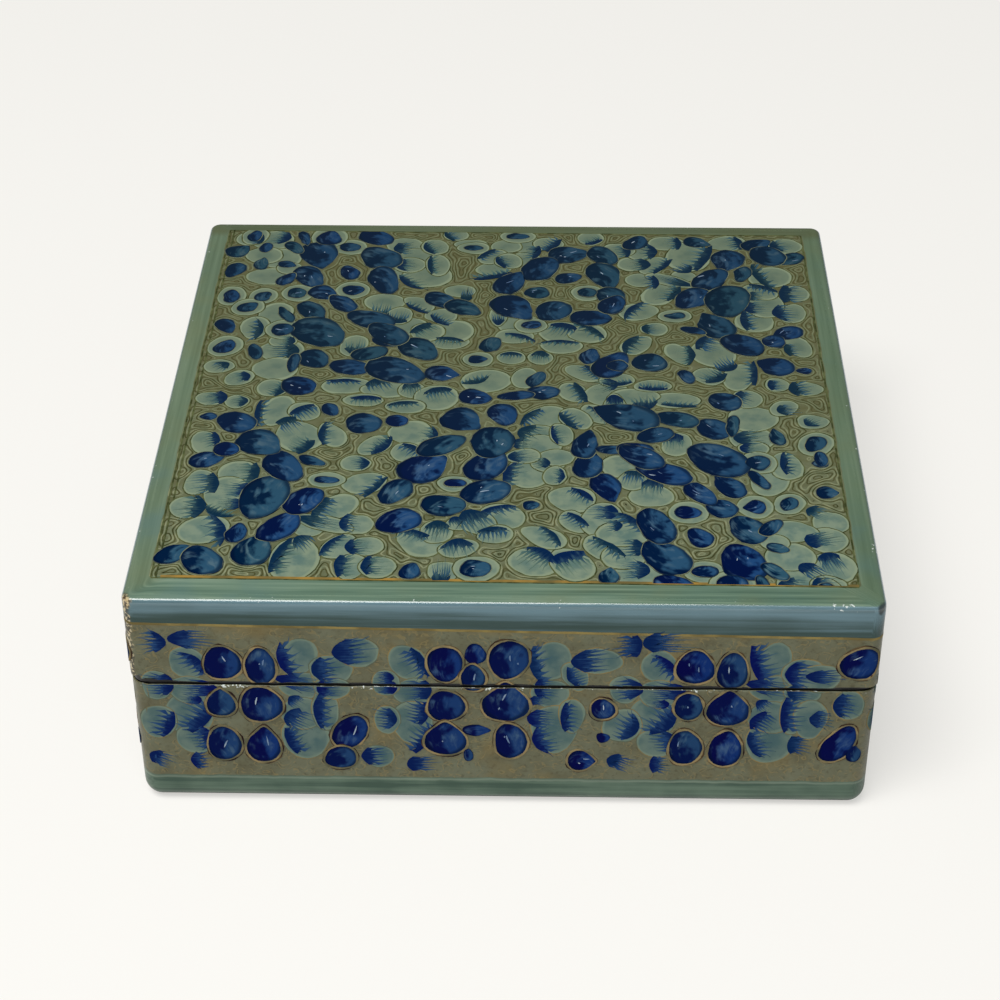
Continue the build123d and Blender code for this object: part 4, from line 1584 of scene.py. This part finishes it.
def lid_round(side, along):
    """A point of the line round the lid, on the sheet."""
    x = along * ALONG[side][0] + HALF * OUTWARD[side][0]
    return along, sheet_origin(side) / MM + UPPER_BAND - 0.1 + BAND_LEAN * x


front_gold = straight(
    leaning(LEFT_END + 1.4, FIELD_FRONT + 0.1), leaning(RIGHT_END, FIELD_FRONT + 0.1),
)
layers["gold_line"] = drawn(line_mesh([front_gold], gold_height), 0.54 * MM, "gold", **RULED)

past_corner = lid_shell.flat / MM + 1.5
round_lid = [
    straight(lid_round(side, -past_corner), lid_round(side, past_corner)) for side in range(4)
]
round_lid = line_mesh(round_lid, gold_height)
layers["side_gold_line"] = drawn(round_lid, 0.42 * MM, "dull_gold", **RULED)

front_left, back_left, back_right, front_right = (leaning(x, y) for x, y in (
    (LEFT_END, FIELD_FRONT - 0.2), (LEFT_END, FIELD_BACK),
    (RIGHT_END, FIELD_BACK), (RIGHT_END, FIELD_FRONT - 0.2),
))
border = [
    straight(front_left, back_left), straight(back_left, back_right),
    straight(back_right, front_right),
    # the left side has a second line inside the first, and the front one below the gold
    straight((front_left[0] + 0.75, front_left[1]), (back_left[0] + 0.75, back_left[1])),
    straight(leaning(LEFT_END, FIELD_FRONT - 0.28), leaning(RIGHT_END, FIELD_FRONT - 0.28)),
]
border = line_mesh(border, gold_height - 0.004 * MM)
layers["border_lines"] = drawn(border, 0.3 * MM, "petal_edge", **RULED)

# %% [markdown]
# ## Fold the sheet round the box
# The lid takes its top and everything above the seam, the base what is below. The sheet is
# cut along the seam and along the lines where a rounded corner turns, so that a stroke bends
# with the corner, and then each point is laid on its side.

# %% Cut and fold
SEAM_EASE = 2.8 * MM  # how far from the seam a stroke follows the wandering cut
SIDE_REACH = 50.0 * MM


def side_of(face):
    """The number of the side that a face of the sheet lies on, or None for the lid's top."""
    y = face.calc_center_median().y
    return None if y > SIDES_START else int((-y - SHEET_START + SIDE_REACH) // SHEET_STEP)


def parts_of(faces):
    return list({part for face in faces for part in (face, *face.edges, *face.verts)})


def trim(mesh, faces, place, outwards, **cleared):
    """Cut faces along a plane, drop what lies on a cleared side, and close what is left."""
    cut = bmesh.ops.bisect_plane(
        mesh, geom=parts_of(faces), plane_co=place, plane_no=outwards, **cleared,
    )
    rim = [edge for edge in cut["geom_cut"] if isinstance(edge, bmesh.types.BMEdge)]
    bmesh.ops.holes_fill(mesh, edges=rim)


def trim_to_field(mesh):
    """Cut off what reaches past the lines round the lid's field."""
    lean = Vector((-FIELD_LEAN, 1.0, 0.0))
    limits = [
        ((FIELD_LEFT, 0), (-1, 0, 0)), ((FIELD_RIGHT, 0), (1, 0, 0)),
        ((0, FIELD_FRONT), -lean), ((0, FIELD_BACK), lean),
    ]
    for (x, y), outwards in limits:
        faces = [face for face in mesh.faces if side_of(face) is None]
        trim(mesh, faces, (x * MM, y * MM, 0.0), outwards, clear_outer=True)


def cut_at_corners(mesh, shell):
    """Cut the sides wherever a facet of a rounded corner begins or ends."""
    for sign in (-1, 1):
        for facet in range(CORNER_FACETS + 1):
            place = sign * (shell.flat + shell.corner * QUARTER * facet / CORNER_FACETS)
            near = [
                face for face in mesh.faces if side_of(face) is not None
                and any(sign * corner.co.x > shell.flat for corner in face.verts)
            ]
            bmesh.ops.bisect_plane(
                mesh, geom=parts_of(near), plane_co=(place, 0.0, 0.0), plane_no=(1.0, 0.0, 0.0),
            )


def cut_sheet(sheet, shell, body, trimmed):
    """The body's part of the sheet, cut along the seam and the facets of the corners."""
    mesh = bmesh.new()
    mesh.from_mesh(sheet)
    faces_of = {}
    for face in mesh.faces:
        faces_of.setdefault(side_of(face), []).append(face)
    top_faces = faces_of.pop(None, [])
    if body == "base":
        bmesh.ops.delete(mesh, geom=top_faces, context="FACES")
    elif trimmed:
        trim_to_field(mesh)
    seam = lid_low.z if body == "lid" else base_high.z
    cleared = {"clear_inner": body == "lid", "clear_outer": body == "base"}
    for side, faces in faces_of.items():
        trim(mesh, faces, (0.0, sheet_origin(side) + seam, 0.0), (0.0, 1.0, 0.0), **cleared)
    cut_at_corners(mesh, shell)
    cut_mesh = bpy.data.meshes.new("folded")
    mesh.to_mesh(cut_mesh)
    mesh.free()
    for material in sheet.materials:
        cut_mesh.materials.append(material)
    return cut_mesh


def fold(mesh, shell, body):
    """Lay the flat points on the box."""
    flat = np.empty(len(mesh.vertices) * 3, np.float32)
    mesh.vertices.foreach_get("co", flat)
    flat = flat.reshape(-1, 3).astype(float)
    folded = flat.copy()
    folded[:, 2] += BOX_TOP - PAINT_DEPTH
    for side in range(4):
        origin = sheet_origin(side)
        here = np.abs(flat[:, 1] - origin) < SIDE_REACH
        along, height, lift = flat[here, 0], flat[here, 1] - origin, flat[here, 2]
        if body == "lid":
            gap = lid_lip(side, along) - lid_low.z
            height = height + gap * np.clip(1 - (height - lid_low.z) / SEAM_EASE, 0, 1)
        else:
            gap = base_high.z - base_brim(side, along)
            height = height - gap * np.clip(1 - (base_high.z - height) / SEAM_EASE, 0, 1)
        past = np.abs(along) - shell.flat
        angle = np.clip(past / shell.corner, 0, QUARTER)
        beyond = np.clip(past - shell.corner * QUARTER, 0, None)
        radius = shell.painted_corner + lift
        sideways = np.sign(along) * (np.minimum(np.abs(along), shell.flat) + radius * np.sin(angle))
        outwards = shell.flat + radius * np.cos(angle) - beyond
        folded[here, :2] = sideways[:, None] * ALONG[side] + outwards[:, None] * OUTWARD[side]
        folded[here, 2] = height
    mesh.vertices.foreach_set("co", folded.ravel())
    mesh.update()


# %% [markdown]
# The sides run anticlockwise round the box, so no face is turned over when the sheet is laid
# on its side, and what faced up on the sheet faces outwards on the box.

# %% Make the painted pieces
painted = []
for body, shell in (("lid", lid_shell), ("base", base_shell)):
    for name, sheet in layers.items():
        mesh = cut_sheet(sheet, shell, body, trimmed=name not in ("gold_line", "border_lines"))
        if not len(mesh.polygons):
            bpy.data.meshes.remove(mesh)
            continue
        fold(mesh, shell, body)
        mesh.shade_smooth()
        mesh.set_sharp_from_angle(angle=math.radians(30))
        piece = bpy.data.objects.new(f"{body}_painted_{name}", mesh)
        bpy.context.scene.collection.objects.link(piece)
        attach(piece, body)
        painted.append(piece)
        print(f"{piece.name}: {len(mesh.polygons)} faces")

for mesh in layers.values():
    bpy.data.meshes.remove(mesh)
for box in brush_boxes:
    for piece in list(box.objects):
        bpy.data.objects.remove(piece)
    bpy.data.collections.remove(box)

# %% [markdown]
# ## Floor and light
# The box stands on a sheet of white paper under one wide soft light from above and a little
# to the left, and a weaker blue one from a window in front. The room behind is dim, so the
# varnish reflects little and the blues stay deep.

# %% The paper
FLOOR_DROP = 0.01 * MM
FLOOR_SIZE = 6.0
OWN_LIGHT = 0.62
bpy.ops.mesh.primitive_plane_add(size=FLOOR_SIZE, location=(0.0, 0.0, -FLOOR_DROP))
floor = bpy.context.object
floor.name = "paper_floor"
paper = Finish("white paper", **{"Roughness": 0.9, "Specular IOR Level": 0.1, "Coat Weight": 0.0})
paper.colour(paint(240, 238, 234))
# seen by the camera, the paper is partly its own light: it stays white, and its shadow soft
glow = paper.node("ShaderNodeEmission", {"Color": paint(248, 246, 241), "Strength": 1.0})
seen = paper.node("ShaderNodeLightPath", out="Is Camera Ray")
matt = Wire(paper, paper.shader.outputs[0])
shown = paper.node("ShaderNodeMixShader", [seen * OWN_LIGHT, matt, glow])
paper.join(shown, paper.tree.nodes["Material Output"].inputs["Surface"])
floor.data.materials.append(paper.material)


# %% The lights
def softbox(name, place, width, depth, strength, colour):
    """A soft rectangle of light that faces the box."""
    data = bpy.data.lights.new(name, "AREA")
    data.shape = "RECTANGLE"
    data.size, data.size_y = width, depth
    data.energy = strength
    data.color = colour
    lamp = bpy.data.objects.new(name, data)
    lamp.location = place
    lamp.rotation_euler = (-Vector(place)).to_track_quat("-Z", "Y").to_euler()
    bpy.context.scene.collection.objects.link(lamp)


softbox(
    "overhead softbox", place=(-0.3, -0.5, 1.18), width=0.8, depth=0.6, strength=19.5,
    colour=(1.0, 0.99, 0.97),
)
softbox(
    "window", place=(0.2, -1.5, 1.9), width=1.4, depth=0.25, strength=6.0,
    colour=(0.7, 0.88, 1.0),
)

world = bpy.data.worlds.new("dim room")
world.use_nodes = True
background = world.node_tree.nodes["Background"].inputs
background["Color"].default_value = (0.9, 0.95, 1.0, 1.0)
background["Strength"].default_value = 0.12
bpy.context.scene.world = world
bpy.context.scene.view_settings.view_transform = "Standard"
